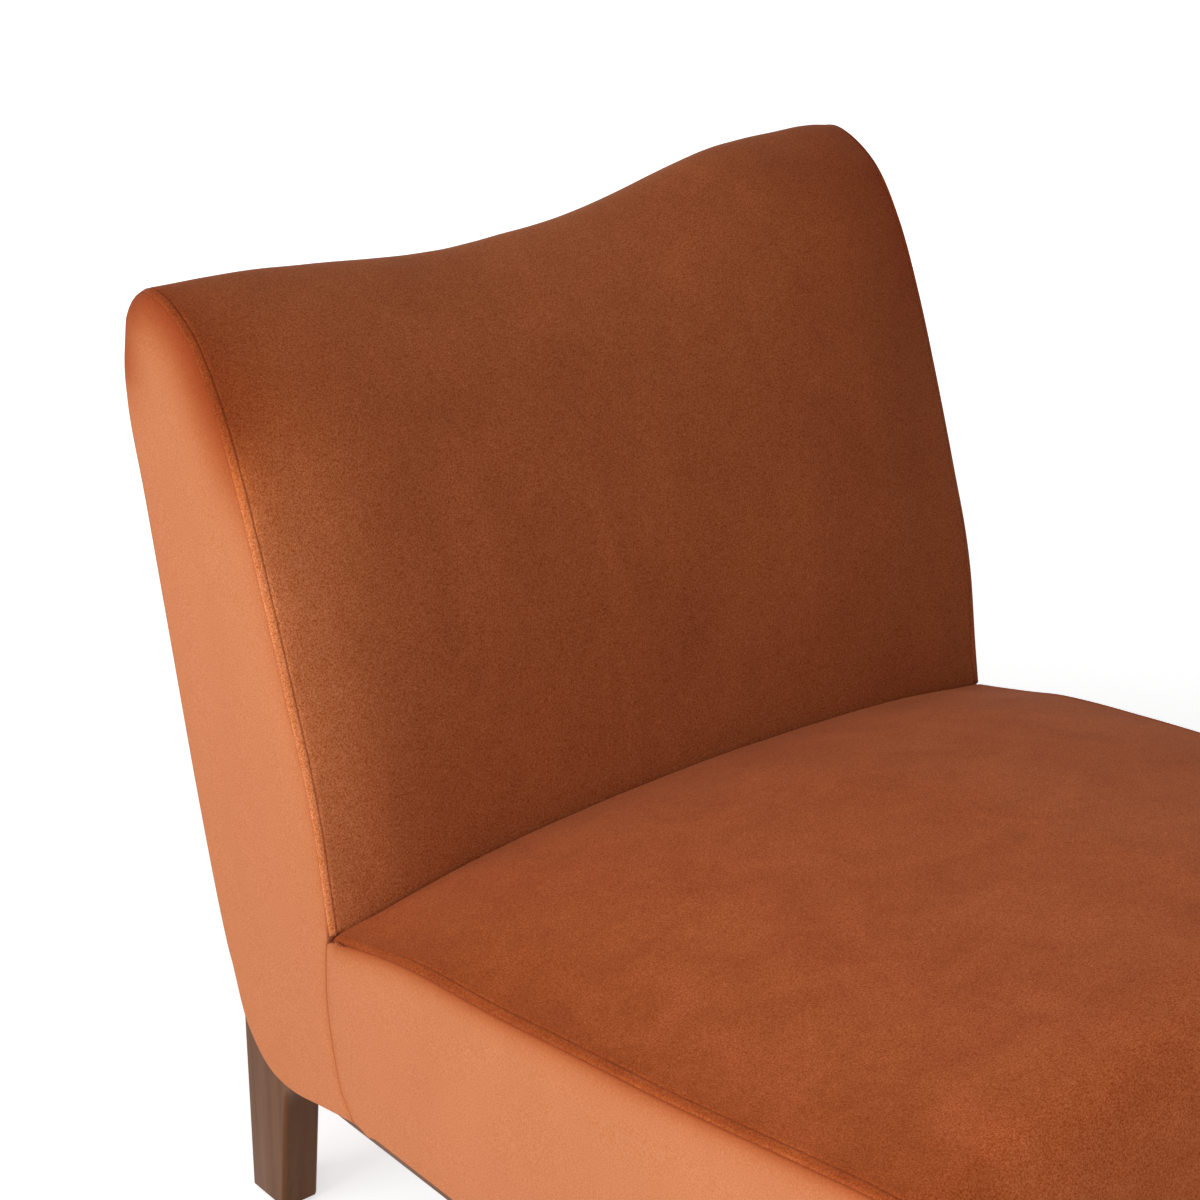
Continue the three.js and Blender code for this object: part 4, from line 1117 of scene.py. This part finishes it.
def easedPart(name, node, radius, slot, material):
    mesh = merged(name, node)
    mesh.shade_smooth()
    mesh.set_sharp_from_angle(angle=eased["sharp"])
    piece = place(mesh, material)
    rounding = piece.modifiers.new("roundEdges", "BEVEL")
    rounding.width, rounding.segments, rounding.harden_normals = radius, eased["segments"], False
    rounding.limit_method, rounding.angle_limit = "ANGLE", eased["edge"]
    piece = applied(piece, name)
    piece.data.shade_smooth()
    standFor(piece, [node])


def easedCorners(kind, ends, *look):
    for end in ends:
        for label in ("Left", "Right"):
            easedPart(kind + end + label, f"{kind}_{end}_{label}".lower(), *look)


easedCorners("leg", ("Rear", "Front"), eased["wood"], "walnut", wood["walnutUp"])
for label, way in (("Left", "Along"), ("Right", "Along"), ("Front", "Across"), ("Rear", "Across")):
    easedPart("baseRail" + label, "base_rail_" + label.lower(), eased["wood"], "walnut", wood["walnut" + way])
easedCorners("glide", ("Front", "Rear"), eased["glide"], "nylon", nylonMaterial)
print("wooden base made")


# CAD parts that show as they are
plainParts = {
    ("back_post", "corner_block"): wood["frameBeechUp"],
    ("back_top_rail", "back_lumbar_rail", "seat_rail_front", "seat_rail_rear"): wood["frameBeechAcross"],
    ("seat_rail_left", "seat_rail_right"): wood["frameBeechAlong"],
    ("seat_spring", "spring_clip", "leg_bolt"): steelMaterial,
}
for starts, material in plainParts.items():
    for name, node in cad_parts.items():
        if name.startswith(starts):
            node.data.materials.clear()
            node.data.materials.append(material)


# Flat cloths stretched over the frame, each on the middle plane of its CAD solid and bowed a little.
# A notch has its half width, and where it begins and ends.
posts = ["back_post_left", "back_post_right"]
rails = ["seat_rail_left", "seat_rail_right", "seat_rail_front", "seat_rail_rear"]
stretched = {
    "dustCover": {
        "node": "dust_cover", "bow": (0, 0, -0.0035), "waves": [(0.0008, 0.07)], "thickness": 0.0007,
        "step": 0.012, "notch": (0.2677, -0.2892, 0.2362), "rests": rails,
    },
    "springCover": {
        "node": "seat_insulator", "bow": (0, 0, -0.0006), "waves": [(0.0004, 0.05)],
        "thickness": 0.0018, "step": 0.014, "rests": rails,
    },
}
for k in range(1, 5):
    stretched[f"backStrap{k}"] = {
        "node": f"back_strap_{k}", "bow": (0, 0.002, 0), "waves": [(0.0003, 0.03)],
        "thickness": 0.0014, "step": 0.007, "rests": posts,
    }
staples = {
    "height": 0.15825, "Pitch": 0.04, "Stitch Length": 0.0095, "Thread Radius": 0.0006,
    "lines": [
        [(-0.2767, -0.2845), (-0.2767, 0.2317)], [(0.2767, 0.2317), (0.2767, -0.2845)],
        [(-0.26, 0.2405), (0.26, 0.2405)], [(-0.26, -0.3595), (0.26, -0.3595)],
    ],
}


def stretchCloth(name, look, slot, material):
    spots = pointsOf(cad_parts[look["node"]].data)
    middle = (spots.min(0) + spots.max(0)) / 2
    way = np.linalg.svd(spots - spots.mean(0))[2][2]
    up = np.cross((1, 0, 0), way)
    along, across = (spots - middle) @ up, (spots - middle)[:, 0]
    step = look["step"]
    u = np.linspace(across.min(), across.max(), int(round(np.ptp(across) / step)) + 1)
    v = np.linspace(along.min(), along.max(), max(int(round(np.ptp(along) / step)), 6) + 1)
    kept, area = None, np.ptp(across) * np.ptp(along)
    if "notch" in look:
        inside, near, far = look["notch"] - np.array((0, middle[1], middle[1]))
        u, v = np.unique([*u, -inside, inside]), np.unique([*(v * up[1]), near, far]) / up[1]
        v = np.sort(v)
        halfway = (v[1:] + v[:-1]) / 2 * up[1]
        side = np.abs(u[1:] + u[:-1]) / 2 > inside
        kept = ~(((halfway < near) | (halfway > far))[:, None] & side[None, :])
        area = (np.diff(v)[:, None] * np.diff(u)[None, :])[kept].sum()
    grid = middle + u[None, :, None] * np.array((1.0, 0, 0)) + v[:, None, None] * up
    full = (1 - (u / u[-1]) ** 2)[None, :, None] * (1 - (v / v[-1]) ** 2)[:, None, None] ** 0.5
    grid = grid + full * (np.array(look["bow"]) + softWaves(grid, look["waves"])[:, :, None] * way)
    half = look["thickness"] / 2 * way
    cloth = standFor(place(shellMesh(name, grid + half, grid - half, kept), material), [look["node"]])
    if name == "dustCover":
        lines = [[(x, y, staples["height"]) for x, y in line] for line in staples["lines"]]
        fittings = [stitchRows("staples", lines, staples, steelMaterial)]


for name, look in stretched.items():
    cloth = ("webbing", webbingMaterial) if look["rests"] is posts else ("black_cloth", feltMaterial)
    stretchCloth(name, look, *cloth)


# Foam, cut a little under the covers
foam = {"voxel": 0.008, "under": 0.004, "fill": 1}


def buildFoamBlock(name, node):
    piece = place(merged(name, node, triangles=True))
    cut = piece.modifiers.new("cut", "REMESH")
    cut.mode, cut.voxel_size, cut.use_smooth_shade = "VOXEL", foam["voxel"], True
    piece = applied(piece, name, foamMaterial)
    inward = pointsOf(piece.data) - pointsOf(piece.data, "vertex_normals", "vector") * foam["under"]
    piece.data.vertices.foreach_set("co", inward.reshape(-1))
    piece.data.update()
    standFor(piece, [node])


buildFoamBlock("backFoam", "back_foam")
buildFoamBlock("seatFoam", "seat_foam")
print("foam made")

# Studio
studio = {
    "floor": (0.80, 0.80, 0.80, 1), "floorSize": 14.0, "floorGlow": (0.6, 1.0),
    "glowReach": (0.9, 2.2), "world": 0.30,
    "lamps": {
        "sideWindow": {"place": (-3.2, 0.3, 1.7), "aim": (0, 0, 0.45), "size": 2.2, "power": 60},
        "frontWindow": {"place": (-1.7, -1.5, 1.1), "aim": (0, 0.2, 0.45), "size": 1.6, "power": 16},
        "overhead": {"place": (-0.6, -0.2, 3.4), "aim": (0, 0.1, 0.4), "size": 2.6, "power": 12},
    },
}


def seenDirectly(tree):
    path = tree.nodes.new("ShaderNodeLightPath")
    seen = maths(tree, "ADD", path.outputs["Is Camera Ray"], path.outputs["Is Glossy Ray"])
    return maths(tree, "ADD", seen, path.outputs["Is Transmission Ray"], clamp=True)


def floorLook(tree):
    inputs = {0: objectPlace(tree)}
    away = newNode(tree, "ShaderNodeVectorMath", inputs, operation="LENGTH").outputs["Value"]
    glow = between(tree, away, *studio["glowReach"], *studio["floorGlow"])
    return {
        "Base Color": studio["floor"], "Roughness": 1.0, "Specular IOR Level": 0.0,
        "Emission Color": (1, 1, 1, 1),
        "Emission Strength": maths(tree, "MULTIPLY", glow, seenDirectly(tree)),
    }


def buildStudio():
    scene.world = bpy.data.worlds.new("studioWorld")
    scene.world.use_nodes = True
    tree = scene.world.node_tree
    strength = between(tree, seenDirectly(tree), 0, 1, studio["world"], 1.0)
    fill(tree, tree.nodes["Background"], {"Color": (1, 1, 1, 1), "Strength": strength})
    half = studio["floorSize"] / 2
    corners = [(x * half, y * half, 0) for x, y in ((-1, -1), (1, -1), (1, 1), (-1, 1))]
    mesh = bpy.data.meshes.new("studioFloor")
    mesh.from_pydata(corners, [], [range(4)])
    place(mesh, newMaterial("studioFloor", floorLook))
    for name, lamp in studio["lamps"].items():
        data = bpy.data.lights.new(name, "AREA")
        data.shape, data.size, data.energy = "SQUARE", lamp["size"], lamp["power"]
        spot = Vector(lamp["place"])
        facing = (spot - Vector(lamp["aim"])).to_track_quat("Z", "Y")
        place(data).matrix_world = Matrix.Translation(spot) @ facing.to_matrix().to_4x4()
    scene.view_settings.view_transform = "Standard"


buildStudio()
print("studio made")
